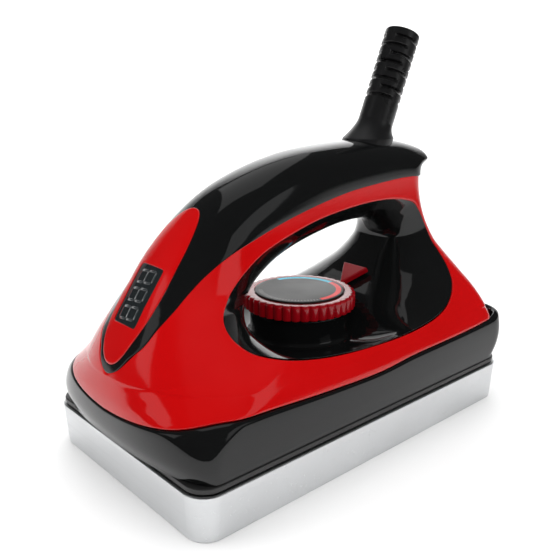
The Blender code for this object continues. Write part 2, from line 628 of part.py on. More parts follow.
def build_liner(black):
    """Black lining of the hand gap, with the dial's turret standing on its floor."""
    centre = np.array(HOLE_CENTRE)
    edge = spline_at(liner_edge_points(), opening_places()[-1], closed=True)
    tangent = np.roll(edge, -1, 0) - np.roll(edge, 1, 0)
    normal = np.stack([-tangent[:, 1], tangent[:, 0]], -1) / np.linalg.norm(tangent, axis=1, keepdims=True)
    normal *= np.sign((normal * (centre - edge)).sum(1, keepdims=True))
    inset = read_curve(LINER_INSET, np.degrees(np.arctan2(*(edge - centre).T[::-1])))
    edge = edge + normal * inset[:, None]
    angles = np.arctan2(*(edge - centre).T[::-1])
    throat = loop_by_angle(THROAT, angles)
    edge_width = half_width(edge, body_outline()) - LINER_SET_BACK
    power = read_curve([(-180, 2.4), (-140, 3.5), (-90, 5), (-40, 4.5), (0, 3.5), (40, 2.6), (90, 2.4),
                        (180, 2.4)],
                       np.degrees(angles))
    across = np.sin(np.linspace(-1, 1, 13) * math.pi / 2)
    share = np.abs(across)[None] ** power[:, None]
    side = throat[:, None] + (edge - throat)[:, None] * share[..., None]
    width = edge_width[:, None] * across[None]
    outer = np.concatenate([width[..., None], side], -1)
    radial = np.stack([np.zeros(len(angles)), np.cos(angles), np.sin(angles)], -1)
    wall = WALL * np.clip((1 - np.abs(across)) * 5, LINER_EDGE, 1)
    liner = wrapped_shell("grip_liner", outer, outer + radial[:, None] * wall[None, :, None], black)
    centre = (0, DIAL_Y)
    add_boolean(liner, prism("turret_body", circle(TURRET_RADIUS, 40, centre), 35.2, TURRET_TOP), "UNION")
    add_boolean(liner, prism("turret_cavity_cutter", circle(TURRET_RADIUS - 2.4, 32, centre), 28,
                             TURRET_TOP - 2.2))
    add_boolean(liner, prism("bushing_hole_cutter", circle(5.0, 16, centre), 40, 60))
    return liner


def loop_by_angle(points, angles):
    """Closed smooth loop read at directions from the hand gap's centre."""
    loop = spline_at(points, np.linspace(0, len(points), len(points) * 16, endpoint=False), closed=True)
    offset = loop - HOLE_CENTRE
    direction = np.arctan2(offset[:, 1], offset[:, 0])
    order = np.argsort(direction)
    radius = np.interp(angles, direction[order], np.linalg.norm(offset, axis=1)[order], period=2 * np.pi)
    return np.stack([HOLE_CENTRE[0] + radius * np.cos(angles), HOLE_CENTRE[1] + radius * np.sin(angles)], -1)


def build_potentiometer(grey, steel):
    centre = (0, DIAL_Y)
    turned("potentiometer", [(0, 30.0), (12, 30.0), (12, 42.0), (4.6, 42.0), (4.6, 50.0), (3.3, 50.0),
                             (3.3, 36.0), (0, 36.0)], 24, grey, centre)
    nut = prism("potentiometer_nut", circle(7.6, 6, centre), TURRET_TOP + GAP, TURRET_TOP + 2.1, steel)
    add_boolean(nut, prism("nut_bore_cutter", circle(4.95, 24, centre), TURRET_TOP - 2, TURRET_TOP + 5))


def build_dial(red, black, steel):
    """Fluted dial cup with a printed disc on top; both turn with the potentiometer's shaft."""
    axis = bpy.data.objects.new("dial_axis", None)
    axis.location = (0, DIAL_Y * MM, 0)
    bpy.context.scene.collection.objects.link(axis)
    steps = DIAL_FLUTES * 2
    vertices = []
    for height, inset in ((DIAL_BOTTOM, 0.5), (DIAL_BOTTOM + 0.6, 0), (DIAL_TOP - 1, 0), (DIAL_TOP, 1.2)):
        for step in range(steps):
            radius = DIAL_RADIUS - inset - (0.7 if step % 2 else 0)
            angle = math.tau * step / steps
            vertices.append((radius * math.cos(angle), radius * math.sin(angle), height))
    faces = [[row * steps + i, row * steps + (i + 1) % steps, (row + 1) * steps + (i + 1) % steps,
              (row + 1) * steps + i]
             for row in range(3) for i in range(steps)]
    faces += [list(range(steps))[::-1], list(range(3 * steps, 4 * steps))]
    dial = mesh_object("dial_ring", vertices, faces, red, axis)
    cutters = [turned("dial_underside_cutter", [(0, 46), (16, 46), (16, 51.6), (0, 51.6)], 32, None),
               turned("disc_seat_cutter", [(0, 53.4), (18.2, 53.4), (18.2, 56), (0, 56)], 40, None)]
    for cutter in cutters:
        cutter.parent = axis
        add_boolean(dial, cutter)
    hub = turned("dial_hub", [(0, 51.0), (5.4, 51.0), (5.4, 53.0), (0, 53.0)], 20, None)
    hub.parent = axis
    add_boolean(dial, hub, "UNION")
    bore = turned("shaft_bore_cutter", [(0, 48.0), (SHAFT_RADIUS + GAP, 48.0), (SHAFT_RADIUS + GAP, 52.4),
                                        (0, 52.4)],
                  16, None)
    bore.parent = axis
    add_boolean(dial, bore)
    disc = turned("dial_scale_disc", [(0, 53.4 + GAP), (17.9, 53.4 + GAP), (17.9, 54.2), (17.5, 54.5),
                                      (0, 54.5)], 40,
                  black)
    disc.parent = axis
    shaft = turned("potentiometer_shaft", [(0, 36.4), (SHAFT_RADIUS, 36.4), (SHAFT_RADIUS, 52.0), (0, 52.0)],
                   12, steel)
    shaft.parent = axis


def build_pointer(red):
    """Triangular marker on the slope behind the dial, its tip towards the dial."""
    tip, base = Vector((0, 28.4, 49.9)), Vector((0, 37.9, 56.1))
    along = (base - tip).normalized()
    frame = local_frame(tip, along)
    length = (base - tip).length
    outline = [(0, 0), (6.6, length), (-6.6, length)]
    return prism("dial_pointer", outline, GAP, 3.0, red, frame)


def build_guard(rubber):
    """Rubber cord guard: a root in the handle, a foot leaning forwards, then a ribbed sleeve with a bore."""
    sides = 14
    lean = Vector((0, math.sin(GUARD_TILT), math.cos(GUARD_TILT)))
    foot = Vector((0, *GUARD_FOOT))
    # height along the axis, radius, share of the tilt that the ring has taken up, shift towards the nose
    outer = [(-7.5, 9.6, 0, 0), (-5.6, 9.6, 0, 0), (-5.6, 7.6, 0, 0), (0.1, 7.6, 0, 0), (0.1, 10.6, 0, 2.0),
             (1.4, 10.2, 0.3, 1.6), (4.0, 8.2, 0.8, 0.5), (7.0, GUARD_RADIUS, 1, 0),
             (13.0, GUARD_RADIUS, 1, 0)]
    rib, groove = 3.9, 6.6
    start, ribs = 14.0, 6
    pitch = (GUARD_LENGTH - 1.5 - start) / ribs
    for number in range(ribs):
        low = start + number * pitch
        outer += [(low, groove, 1, 0), (low + pitch - rib * 0.6, groove, 1, 0),
                  (low + pitch - rib * 0.6, GUARD_RADIUS + 0.1, 1, 0),
                  (low + pitch, GUARD_RADIUS + 0.1, 1, 0)]
    outer += [(GUARD_LENGTH, GUARD_RADIUS - 0.6, 1, 0)]
    inner = [(GUARD_LENGTH, CORD_BORE_RADIUS, 1, 0), (8.0, CORD_BORE_RADIUS, 1, 0),
             (2.0, CORD_BORE_RADIUS + 0.3, 0.5, 0), (-7.5, CORD_BORE_RADIUS + 0.3, 0, 0)]
    vertices = []
    for height, radius, tilt, forward in outer + inner:
        axis = Vector((0, 0, 1)).lerp(lean, tilt).normalized()
        back = Vector((1, 0, 0)).cross(axis)
        centre = foot + (lean if height > 0 else Vector((0, 0, 1))) * height - Vector((0, forward, 0))
        for step in range(sides):
            angle = math.tau * step / sides
            point = centre + radius * (math.cos(angle) * Vector((1, 0, 0)) - math.sin(angle) * back)
            vertices.append(tuple(point))
    rows = len(outer) + len(inner)
    guard = mesh_object("cord_guard", vertices, grid_faces(rows, sides, wrap_rows=True, wrap_columns=True),
                        rubber)
    make_outward(guard)
    shade_round(guard)
    return guard


def build_cord_clamp(plastic, steel):
    """Bridge that would grip the cord under the guard, with its two screws."""
    z = 97.0
    clamp = slab("cord_clamp", (-10.5, 10.5), (43, 51), (z, z + 4), plastic)
    add_boolean(clamp, prism("clamp_cord_cutter", circle(3.9, 16, (0, 47)), z - 1, z + 6))
    for number, x in enumerate((-7.6, 7.6)):
        add_boolean(clamp, prism(f"cord_clamp_hole_cutter_{number}", circle(1.5, 10, (x, 47)), z - 1, z + 6))
        turned(f"cord_clamp_screw_{number + 1}", [(0, z - 4), (1.2, z - 4), (1.2, z + 4.3), (2.4, z + 4.3),
                                                  (2.4, z + 5.8), (0, z + 5.8)], 10, steel, (x, 47))


def build_electronics(green, black, metal, ivory, copper):
    slab("control_board", (-30, 30), (-74, -22), (25.0, 26.6), green)
    slab("filter_capacitor", (8, 24), (-66, -52), (26.9, 38.0), ivory)
    slab("triac", (-22, -12), (-55.4, -51.0), (26.9, 42.0), black)
    sink = slab("triac_heatsink", (-26, -8), (-66, -55.7), (26.9, 44.0), metal)
    add_boolean(sink, slab("heatsink_slot_cutter", (-23.5, -10.5), (-70, -58.2), (25, 46), None))
    frame = window_frame()
    slab("display_module", (-8.2, 8.2), (-12.5, 12.5), (-7.2, -4.3), black, frame)
    slab("display_board", (-10.5, 10.5), (-22, 16), (-9.2, -7.6), green, frame)
    path = smooth_line([(-57.5, 60.0), (-53, 55.5), (-50.5, 48), (-50, 40), (-49.5, 32), (-49.5, 27.2)], 3)
    normal = np.gradient(path, axis=0)
    normal = np.stack([-normal[:, 1], normal[:, 0]], -1) / np.linalg.norm(normal, axis=1, keepdims=True)
    outline = np.vstack([path + normal * 0.4, (path - normal * 0.4)[::-1]])
    side_frame = Matrix(((0, 0, 1, 0), (1, 0, 0, 0), (0, 1, 0, 0), (0, 0, 0, 1)))
    ribbon = prism("ribbon_cable", [tuple(point) for point in outline], -5, 5, ivory, side_frame)
    make_outward(ribbon)
    block = slab("terminal_block", (-13, 13), (62, 74), (21.5, 32.0), ivory)
    for number, x in enumerate((-8, 0, 8)):
        add_boolean(block, prism(f"terminal_cutter_{number}", circle(2.4, 12, (x, 68)), 27, 34))
    for side, label in ((-1, "left"), (1, "right")):
        start = (side * ELEMENT_HALF_SPACING, ELEMENT_TURN_UP_Y + 7, 27.4)
        route = [start, (side * 25, 57.2, 30.0), (side * 24, 60, 32.2), (side * 20, 65, 32.2),
                 (side * 16, 67.6, 30.2), (side * 14.6, 68, 28.4)]
        tube_through(f"element_lead_{label}", [tuple(p) for p in smooth_line(route, 3)], 1.0, copper)


def main():
    remove_everything()
    black = make_material("gloss_black", (0.012, 0.013, 0.015), 0.16)
    red = make_material("gloss_red", (0.60, 0.008, 0.012), 0.18)
    aluminium = make_material("brushed_aluminium", (0.72, 0.74, 0.75), 0.32, 1.0)
    steel = make_material("zinc_steel", (0.60, 0.60, 0.58), 0.35, 1.0)
    rubber = make_material("black_rubber", (0.015, 0.015, 0.016), 0.40)
    smoked = make_material("smoked_pane", (0.02, 0.022, 0.024), 0.08)
    flange = make_material("heatproof_black", (0.02, 0.02, 0.022), 0.45)
    green = make_material("circuit_board", (0.02, 0.16, 0.06), 0.45)
    ivory = make_material("ivory_plastic", (0.70, 0.66, 0.55), 0.5)
    mineral = make_material("mica", (0.52, 0.47, 0.38), 0.6)
    copper = make_material("copper_lead", (0.72, 0.38, 0.22), 0.4, 1.0)
    build_sole(aluminium)
    build_heating(steel, steel, mineral, ivory)
    build_flange(flange)
    build_base_screws(steel)
    build_skirt(black)
    build_body_shell(red)
    build_handle(black, red, smoked)
    build_liner(black)
    build_potentiometer(ivory, steel)
    build_dial(red, black, steel)
    build_pointer(red)
    build_guard(rubber)
    build_cord_clamp(ivory, steel)
    build_electronics(green, black, aluminium, ivory, copper)


main()
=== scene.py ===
# Waxing iron for skis: the visible surfaces, finishes, light and camera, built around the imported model.
# Lengths are written in millimetres and turned into metres when a mesh is made. +X right, +Y rear, +Z up.
import math

import bmesh
import bpy
import numpy as np
from mathutils import Matrix, Vector


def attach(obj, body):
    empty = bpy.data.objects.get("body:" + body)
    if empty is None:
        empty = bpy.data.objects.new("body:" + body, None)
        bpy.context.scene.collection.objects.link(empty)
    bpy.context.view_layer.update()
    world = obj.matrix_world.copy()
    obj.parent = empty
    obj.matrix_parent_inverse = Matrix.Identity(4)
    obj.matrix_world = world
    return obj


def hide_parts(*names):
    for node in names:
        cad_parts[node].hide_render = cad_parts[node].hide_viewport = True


mm = 0.001
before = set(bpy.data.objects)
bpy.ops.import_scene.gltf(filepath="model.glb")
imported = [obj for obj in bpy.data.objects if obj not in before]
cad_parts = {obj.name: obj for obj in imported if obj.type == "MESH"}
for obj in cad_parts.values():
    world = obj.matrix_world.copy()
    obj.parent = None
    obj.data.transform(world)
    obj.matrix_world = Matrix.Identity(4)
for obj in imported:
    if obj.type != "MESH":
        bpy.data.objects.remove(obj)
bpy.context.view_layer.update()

# The body in side view (y, z) and its half width; these curves carry every outer surface
body = {
    "noseLine": [(19.4, -84.2), (24, -85.6), (30, -86.0), (36, -85.8), (42.6, -84.3)],      # z, y
    "ridge": [(-84.3, 42.6), (-82.3, 48), (-79.5, 54), (-75.5, 60.5), (-69.5, 69.5), (-61.5, 80),
              (-50.5, 90.3), (-37, 99.2), (-21, 105.4), (-3, 109.5), (16, 111.3), (34, 111.8), (50, 111.2),
              (60, 109.6), (66.5, 107.4), (69, 103.6), (67.4, 99.8), (64.2, 97.8)],
    "ridgeEnd": [(60, 109.6), (63.5, 103)],
    "column": [(63, 97), (63.2, 90), (65.5, 80), (70, 70), (75.5, 60), (80, 50), (83, 41), (84, 34),
               (84, 29)],
    "widths": [(18, 46.5), (26, 46.5), (34, 45.5), (42, 42.6), (50, 37.4), (56, 32), (60, 28.7), (65, 24.8),
               (70, 21.5), (80, 18.6), (90, 17.2), (100, 16.6), (112, 16.5)],   # z, half width
    "rounding": [(-180, 31), (-176, 36), (-172, 43), (-168, 45), (-164, 42), (-158, 31), (-150, 19),
                 (-90, 14), (-30, 12), (0, 11), (30, 11), (60, 13), (90, 14), (120, 15), (150, 15), (162, 17),
                 (172, 22), (180, 31)],   # degrees round the gap
    "power": 2.4,
    "gapCentre": (8.0, 62.0),
    "noseReach": [(19, 12.5), (26, 13.5), (31, 17), (34, 22), (37, 30), (40, 38), (42.6, 42)],   # z, reach
    "rearReach": 12.0,
}
seam = {
    "cover": [(-84.0, 43.4), (-81.9, 47.8), (-78, 53.7), (-72.3, 60), (-64.7, 66.9), (-56, 74.1),
              (-45.6, 79.8), (-33, 84.1), (-18.5, 88.2), (-2, 91.9), (14, 94.6), (30, 96.0), (44, 96.8),
              (52.5, 96.8), (57, 96.7), (60, 96.7), (61.8, 96.8), (62.8, 97)],
    "tail": [(57, 96.7), (63, 97)],
    # where the seam closes round the nose: its half width against the station on the ridge
    "noseWidth": [(0, 0), (0.15, 0), (0.28, 2.5), (0.43, 4.2), (0.69, 6.3), (1.0, 7.9), (1.6, 10.6),
                  (2.26, 13.2), (3.03, 15.1), (4, 16.2)],
    "topInner": [(-49.5, 50.8), (-53.1, 53.6), (-55.3, 57.2), (-55.3, 61.2), (-52.9, 65), (-48.2, 69.4),
                 (-41, 74.3), (-31, 79.3), (-18, 83.3), (-3, 86.8), (14, 89), (29, 89.8), (42, 89),
                 (51.5, 86.8)],
    "rearOuter": [(63, 97), (63.2, 90), (65.5, 80), (70, 70), (75.5, 60), (80, 50), (83, 41)],
    "rearInner": [(55.3, 83.5), (58, 79.2), (60.5, 72), (62.3, 65), (62.7, 59.5), (61.2, 55)],
    "footInner": [(58, 51.8), (54, 49), (48, 46.2), (40, 44.2), (30, 42.9), (17, 42.2), (2, 42.3),
                  (-12, 43.2), (-24, 44.5), (-34, 46.2), (-42.5, 48.3)],
    "gap": 0.25,
}
foot = {   # plan degrees, z
    "shellLow": [(-90, 31.9), (-84, 32.4), (-76, 33.6), (-68, 35.1), (-62, 36.6), (-58, 37.1), (-51, 36.5),
                 (-32, 34.9), (0, 34.0), (25, 35.1), (45, 35.6), (54, 36.2), (58.5, 36.9), (62, 37.1),
                 (64.5, 36), (68, 31), (73, 29), (90, 29)],
    "shellHigh": [(-90, 42.6), (-70, 41.8), (-58, 41), (-30, 40), (20, 39.4), (45, 39.8), (60, 41), (90, 41)],
    "skirtTop": [(-90, 31.0), (-84, 31.5), (-76, 32.7), (-68, 34.2), (-62, 35.7), (-58, 36.2), (-51, 35.6),
                 (-32, 34.0), (0, 33.1), (25, 34.2), (45, 34.7), (54, 35.3), (59, 36.0), (64, 38.2),
                 (77, 38.2), (90, 38.0)],
    "skirtLow": 19.4,
    "rearWall": [(18, 84), (34, 84), (41, 83), (50, 80)],   # z, y
    "rearLip": [(19.4, 81.6), (21.5, 83.4), (25, 85.8), (30, 87.6), (38.5, 88.4)],
    "lipPower": 3.6,
    "skirtWall": 1.9,
}


def splineAt(points, stations, closed=False):
    # Catmull-Rom curve through the points, read at real-valued station numbers
    points = np.asarray(points, float)
    stations = np.asarray(stations, float)
    count = len(points)
    index = np.floor(stations).astype(int)
    if not closed:
        index = np.clip(index, 0, count - 2)
    t = (stations - index)[..., None]
    if closed:
        a, b, c, d = (points[(index + shift) % count] for shift in (-1, 0, 1, 2))
    else:
        padded = np.vstack([2 * points[0] - points[1], points, 2 * points[-1] - points[-2]])
        a, b, c, d = (padded[index + shift] for shift in range(4))
    square, cube = 2 * a - 5 * b + 4 * c - d, 3 * b - a - 3 * c + d
    return 0.5 * (2 * b + (c - a) * t + square * t ** 2 + cube * t ** 3)


def smoothLine(points, steps=12):
    return splineAt(points, np.linspace(0, len(points) - 1, (len(points) - 1) * steps + 1))


def readCurve(points, where):
    line = smoothLine(points)
    return np.interp(where, line[:, 0], line[:, 1])


def superWidth(depth, reach, power=None):
    # share of the full width at a depth inside the outline: a superellipse quarter
    power = power or body["power"]
    inward = 1 - np.clip(depth / reach, 0, 1)
    return (1 - inward ** power) ** (1 / power)


def depthInside(flat, outline):
    # distance from side-view points to the outline, a few thousand points at a time
    start, span = outline[:-1], outline[1:] - outline[:-1]
    pieces = []
    for block in np.array_split(flat, max(1, len(flat) // 3000)):
        along = ((block[:, None] - start) * span).sum(-1) / (span ** 2).sum(-1)
        nearest = start + span * np.clip(along, 0, 1)[..., None]
        pieces.append(np.linalg.norm(block[:, None] - nearest, axis=-1).min(1))
    return np.concatenate(pieces)


def halfWidth(points, outline):
    # W(z) times the superellipse of the depth, whose reach changes round the hand gap
    flat = np.asarray(points, float).reshape(-1, 2)
    centre = np.array(body["gapCentre"])
    direction = np.degrees(np.arctan2(flat[:, 1] - centre[1], flat[:, 0] - centre[0]))
    width = readCurve(body["widths"], flat[:, 1]) * superWidth(depthInside(flat, outline),
                                                              readCurve(body["rounding"], direction))
    return width.reshape(points.shape[:-1])


def coverOutline(rows=241):
    return splineAt(body["ridge"], np.linspace(0, len(body["ridge"]) - 1, rows))


def bodyOutline(columnRows=61):
    # up the nose, over the ridge, straight up at the rear and down the rear column
    height = np.linspace(27, 42.6, 28)
    nose = np.stack([readCurve(body["noseLine"], height), height], -1)
    top = smoothLine(body["ridge"][:-5] + body["ridgeEnd"], 10)
    rear = splineAt(body["column"], np.linspace(0, len(body["column"]) - 1, columnRows))
    return np.vstack([nose, top[1:], rear])


def seamLine(points, places):
    # seam in side view, and its half width where it closes round the nose (nan further back); there the width
    # decides the depth under the ridge, and after that the seam blends into the drawn line
    places = np.asarray(places, float)
    ridge = splineAt(body["ridge"], places)
    ahead = splineAt(body["ridge"], places + 0.01) - ridge
    ahead /= np.linalg.norm(ahead, axis=1, keepdims=True)
    inward = np.stack([ahead[:, 1], -ahead[:, 0]], -1)
    x = np.maximum(readCurve(seam["noseWidth"], places), 0)
    centre = np.array(body["gapCentre"])
    direction = np.degrees(np.arctan2(ridge[:, 1] - centre[1], ridge[:, 0] - centre[0]))
    share = np.clip(x / readCurve(body["widths"], ridge[:, 1]), 0, 0.95)
    depth = readCurve(body["rounding"], direction) * (1 - (1 - share ** body["power"]) ** (1 / body["power"]))
    blend = np.clip(places - 2, 0, 1)[:, None]
    blend = blend * blend * (3 - 2 * blend)
    line = (ridge + inward * depth[:, None]) * (1 - blend) + splineAt(points, places) * blend
    return line, np.where(places < 2, x, np.nan)


def gridFaces(rows, columns, wrapRows=False, wrapColumns=False):
    # four corners of every cell of a grid, as one array
    row = np.arange(rows if wrapRows else rows - 1)[:, None]
    column = np.arange(columns if wrapColumns else columns - 1)[None]
    nextRow, nextColumn = (row + 1) % rows, (column + 1) % columns
    corners = np.stack(np.broadcast_arrays(row * columns + column, nextRow * columns + column,
                                           nextRow * columns + nextColumn, row * columns + nextColumn), -1)
    return corners.reshape(-1, 4)


def joinParts(*parts):
    # several (points, faces) pairs as one
    points, faces, offset = [], [], 0
    for partPoints, partFaces in parts:
        flat = np.asarray(partPoints, float).reshape(-1, 3)
        points.append(flat)
        faces.append(np.asarray(partFaces) + offset)
        offset += len(flat)
    return np.vstack(points), np.vstack(faces)


def makePiece(name, points, faces, material, weld=0.00002, sharp=40.0):
    # mesh from millimetre points; doubles merged, faces turned outwards, smooth with sharp edges kept
    mesh = bpy.data.meshes.new(name)
    mesh.from_pydata((np.asarray(points, float).reshape(-1, 3) * mm).tolist(), [],
                     [list(face) for face in faces])
    shape = bmesh.new()
    shape.from_mesh(mesh)
    bmesh.ops.remove_doubles(shape, verts=shape.verts, dist=weld)
    bmesh.ops.dissolve_degenerate(shape, edges=shape.edges, dist=weld / 4)
    bmesh.ops.recalc_face_normals(shape, faces=shape.faces)
    middle = sum((vertex.co for vertex in shape.verts), Vector()) / len(shape.verts)
    if any(edge.is_boundary for edge in shape.edges):
        facing = sum(face.normal.dot(face.calc_center_median() - middle) * face.calc_area()
                     for face in shape.faces)
    else:
        facing = shape.calc_volume(signed=True)
    if facing < 0:
        bmesh.ops.reverse_faces(shape, faces=shape.faces)
    shape.to_mesh(mesh)
    shape.free()
    mesh.shade_smooth()
    mesh.set_sharp_from_angle(angle=math.radians(sharp))
    piece = bpy.data.objects.new(name, mesh)
    bpy.context.scene.collection.objects.link(piece)
    mesh.materials.append(material)
    return piece


def thicken(piece, wall):
    # a thin skin gets its wall on the inside
    layer = piece.modifiers.new("wall", "SOLIDIFY")
    layer.thickness, layer.offset = wall * mm, -1


def dress(piece, bodyName, slotName, *nodes):
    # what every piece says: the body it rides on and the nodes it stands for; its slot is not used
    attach(piece, bodyName)
    if nodes:
        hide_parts(*nodes)
    return piece


def normalsOf(grid, wrapRows=False):
    # unit normals of a grid of points from its two tangents
    along = np.gradient(grid, axis=0)
    if wrapRows:
        along = np.roll(grid, -1, 0) - np.roll(grid, 1, 0)
    across = np.gradient(grid, axis=1)
    normal = np.cross(along, across)
    return normal / np.maximum(np.linalg.norm(normal, axis=-1, keepdims=True), 1e-9)


def edgeStrip(lead, radius, drop, outward, wrapRows=False, steps=4):
    # from an edge (the last of three columns) round a small quarter circle and straight in by the drop
    normal = normalsOf(lead, wrapRows)[:, -1]
    normal = normal * np.where((normal * outward).sum(-1, keepdims=True) < 0, -1.0, 1.0)
    tangent = lead[:, -1] - lead[:, -2]
    tangent = tangent - (tangent * normal).sum(-1, keepdims=True) * normal
    tangent = tangent / np.maximum(np.linalg.norm(tangent, axis=-1, keepdims=True), 1e-9)
    angle = np.linspace(0, math.pi / 2, steps + 1)[:, None, None]
    curl = lead[:, -1] + radius * (np.sin(angle) * tangent - (1 - np.cos(angle)) * normal)
    last = curl[-1:] - drop * normal
    return np.moveaxis(np.concatenate([curl, last]), 0, 1)


def gridPart(grid, wrapRows=False, wrapColumns=False):
    return grid.reshape(-1, 3), gridFaces(grid.shape[0], grid.shape[1], wrapRows, wrapColumns)


def fullTurn(count):
    return np.linspace(0, math.tau, count, endpoint=False)


def mirrored(points, faces):
    # the same part on the other side, faces turned over
    return points * (-1, 1, 1), faces[:, ::-1]


# Finishes
def groupNode(tree, kind, location=(0, 0), **settings):
    node = tree.nodes.new(kind)
    node.location = location
    for key, value in settings.items():
        setattr(node, key, value)
    return node


def wire(source, output, target, entry):
    source.id_data.links.new(source.outputs[output], target.inputs[entry])


def fill(node, values):
    for name, value in values.items():
        node.inputs[name].default_value = value


def mapRange(tree, low, high, toLow=0.0, toHigh=1.0):
    node = groupNode(tree, "ShaderNodeMapRange")
    fill(node, {"From Min": low, "From Max": high, "To Min": toLow, "To Max": toHigh})
    return node


def buildSurfaceGroup():
    # broad unevenness for roughness, fine unevenness for height
    group = bpy.data.node_groups.new("mouldedSurface", "ShaderNodeTree")
    group.interface.new_socket(name="Vector", in_out="INPUT", socket_type="NodeSocketVector")
    for name, value in (("Broad Scale", 60.0), ("Fine Scale", 900.0), ("Low Roughness", 0.1),
                        ("High Roughness", 0.2)):
        socket = group.interface.new_socket(name=name, in_out="INPUT", socket_type="NodeSocketFloat")
        socket.default_value = value
    for name in ("Roughness", "Height", "Unevenness"):
        group.interface.new_socket(name=name, in_out="OUTPUT", socket_type="NodeSocketFloat")
    entry, leave = groupNode(group, "NodeGroupInput"), groupNode(group, "NodeGroupOutput")
    broad, fine = groupNode(group, "ShaderNodeTexNoise"), groupNode(group, "ShaderNodeTexNoise")
    fill(broad, {"Detail": 3.0})
    fill(fine, {"Detail": 2.0})
    spread = mapRange(group, 0.35, 0.65)
    wire(entry, "Vector", broad, "Vector")
    wire(entry, "Vector", fine, "Vector")
    wire(entry, "Broad Scale", broad, "Scale")
    wire(entry, "Fine Scale", fine, "Scale")
    wire(broad, "Fac", spread, "Value")
    wire(entry, "Low Roughness", spread, "To Min")
    wire(entry, "High Roughness", spread, "To Max")
    wire(spread, "Result", leave, "Roughness")
    wire(fine, "Fac", leave, "Height")
    wire(broad, "Fac", leave, "Unevenness")
    return group


surfaceGroup = buildSurfaceGroup()


def newMaterial(name):
    material = bpy.data.materials.new(name)
    material.use_nodes = True
    tree = material.node_tree
    return material, tree, tree.nodes["Principled BSDF"], groupNode(tree, "ShaderNodeTexCoord")


def bumpNode(tree, strength, distance):
    height = groupNode(tree, "ShaderNodeBump")
    fill(height, {"Strength": strength, "Distance": distance})
    return height


def mouldedMaterial(name, colour, darker, roughness, broadScale=40.0, fineScale=700.0, bump=0.03,
                    specular=0.5):
    # plastic, rubber or board: colour that drifts a little, uneven gloss and a fine moulded skin
    material, tree, shader, place = newMaterial(name)
    skin = groupNode(tree, "ShaderNodeGroup", node_tree=surfaceGroup)
    fill(skin, {"Broad Scale": broadScale, "Fine Scale": fineScale, "Low Roughness": roughness[0],
                "High Roughness": roughness[1]})
    mix = groupNode(tree, "ShaderNodeMix", data_type="RGBA")
    fill(mix, {"A": (*darker, 1.0), "B": (*colour, 1.0)})
    height = bumpNode(tree, bump, 0.0002)
    wire(place, "Object", skin, "Vector")
    wire(skin, "Unevenness", mix, "Factor")
    wire(mix, "Result", shader, "Base Color")
    wire(skin, "Roughness", shader, "Roughness")
    wire(skin, "Height", height, "Height")
    wire(height, "Normal", shader, "Normal")
    fill(shader, {"Specular IOR Level": specular})
    return material


def brushedMetal(name, colour, roughness, stretch=(4.0, 900.0, 900.0)):
    # long fine scratches along one axis: noise squeezed across it drives roughness, colour and height
    material, tree, shader, place = newMaterial(name)
    squeeze = groupNode(tree, "ShaderNodeMapping")
    scratch, cloud = groupNode(tree, "ShaderNodeTexNoise"), groupNode(tree, "ShaderNodeTexNoise")
    fill(squeeze, {"Scale": stretch})
    fill(scratch, {"Scale": 1.0, "Detail": 5.0, "Roughness": 0.65})
    fill(cloud, {"Scale": 25.0})
    spread = mapRange(tree, 0.3, 0.7, *roughness)
    mix = groupNode(tree, "ShaderNodeMix", data_type="RGBA")
    fill(mix, {"A": (*(0.82 * value for value in colour), 1.0), "B": (*colour, 1.0)})
    height = bumpNode(tree, 0.12, 0.0001)
    wire(place, "Object", squeeze, "Vector")
    wire(place, "Object", cloud, "Vector")
    wire(squeeze, "Vector", scratch, "Vector")
    wire(scratch, "Fac", spread, "Value")
    wire(spread, "Result", shader, "Roughness")
    wire(cloud, "Fac", mix, "Factor")
    wire(mix, "Result", shader, "Base Color")
    wire(scratch, "Fac", height, "Height")
    wire(height, "Normal", shader, "Normal")
    fill(shader, {"Metallic": 1.0})
    return material


# name: colour, its darker shade, lowest and highest roughness
moulded = {
    "glossBlack": ((0.0045, 0.0050, 0.0052), (0.003, 0.003, 0.003), (0.05, 0.10)),
    "glossRed": ((0.47, 0.001, 0.002), (0.40, 0.001, 0.001), (0.07, 0.13)),
    # the darker red below is the gloss red with painted shade, for the dial ring and the pointer that sit in
    # the hand gap under the handle
    "gapShadedRed": ((0.27, 0.002, 0.006), (0.20, 0.001, 0.004), (0.08, 0.14)),
    "flangeBlack": ((0.018, 0.018, 0.018), (0.010, 0.010, 0.010), (0.35, 0.5)),
    "guardRubber": ((0.006, 0.006, 0.0065), (0.004, 0.004, 0.004), (0.22, 0.34)),
    "paneBlack": ((0.012, 0.015, 0.016), (0.009, 0.011, 0.012), (0.02, 0.05)),
    "segmentGrey": ((0.032, 0.036, 0.038), (0.026, 0.030, 0.032), (0.03, 0.06)),
    "mica": ((0.52, 0.47, 0.38), (0.42, 0.37, 0.28), (0.35, 0.6)),
    "ivory": ((0.70, 0.66, 0.55), (0.62, 0.58, 0.47), (0.3, 0.45)),
    "board": ((0.02, 0.16, 0.06), (0.01, 0.10, 0.04), (0.2, 0.4)),
    "componentBlack": ((0.02, 0.02, 0.02), (0.012, 0.012, 0.012), (0.3, 0.5)),
}
mouldedExtras = {"glossBlack": {"specular": 0.42}, "guardRubber": {"bump": 0.15}, "paneBlack": {"bump": 0.0},
                 "segmentGrey": {"bump": 0.0}, "mica": {"broadScale": 120.0, "bump": 0.3}}
brushed = {
    "plate": ((0.72, 0.73, 0.74), (0.26, 0.40)),
    "zinc": ((0.60, 0.60, 0.58), (0.28, 0.42), (300.0, 300.0, 300.0)),
    "heatsink": ((0.62, 0.63, 0.65), (0.32, 0.46)),
    "copper": ((0.72, 0.38, 0.22), (0.3, 0.4), (200.0, 200.0, 200.0)),
}
finish = {name: mouldedMaterial(name, *look, **mouldedExtras.get(name, {})) for name, look in moulded.items()}
finish.update({name: brushedMetal(name, *look) for name, look in brushed.items()})
print("finishes made:", len(finish))


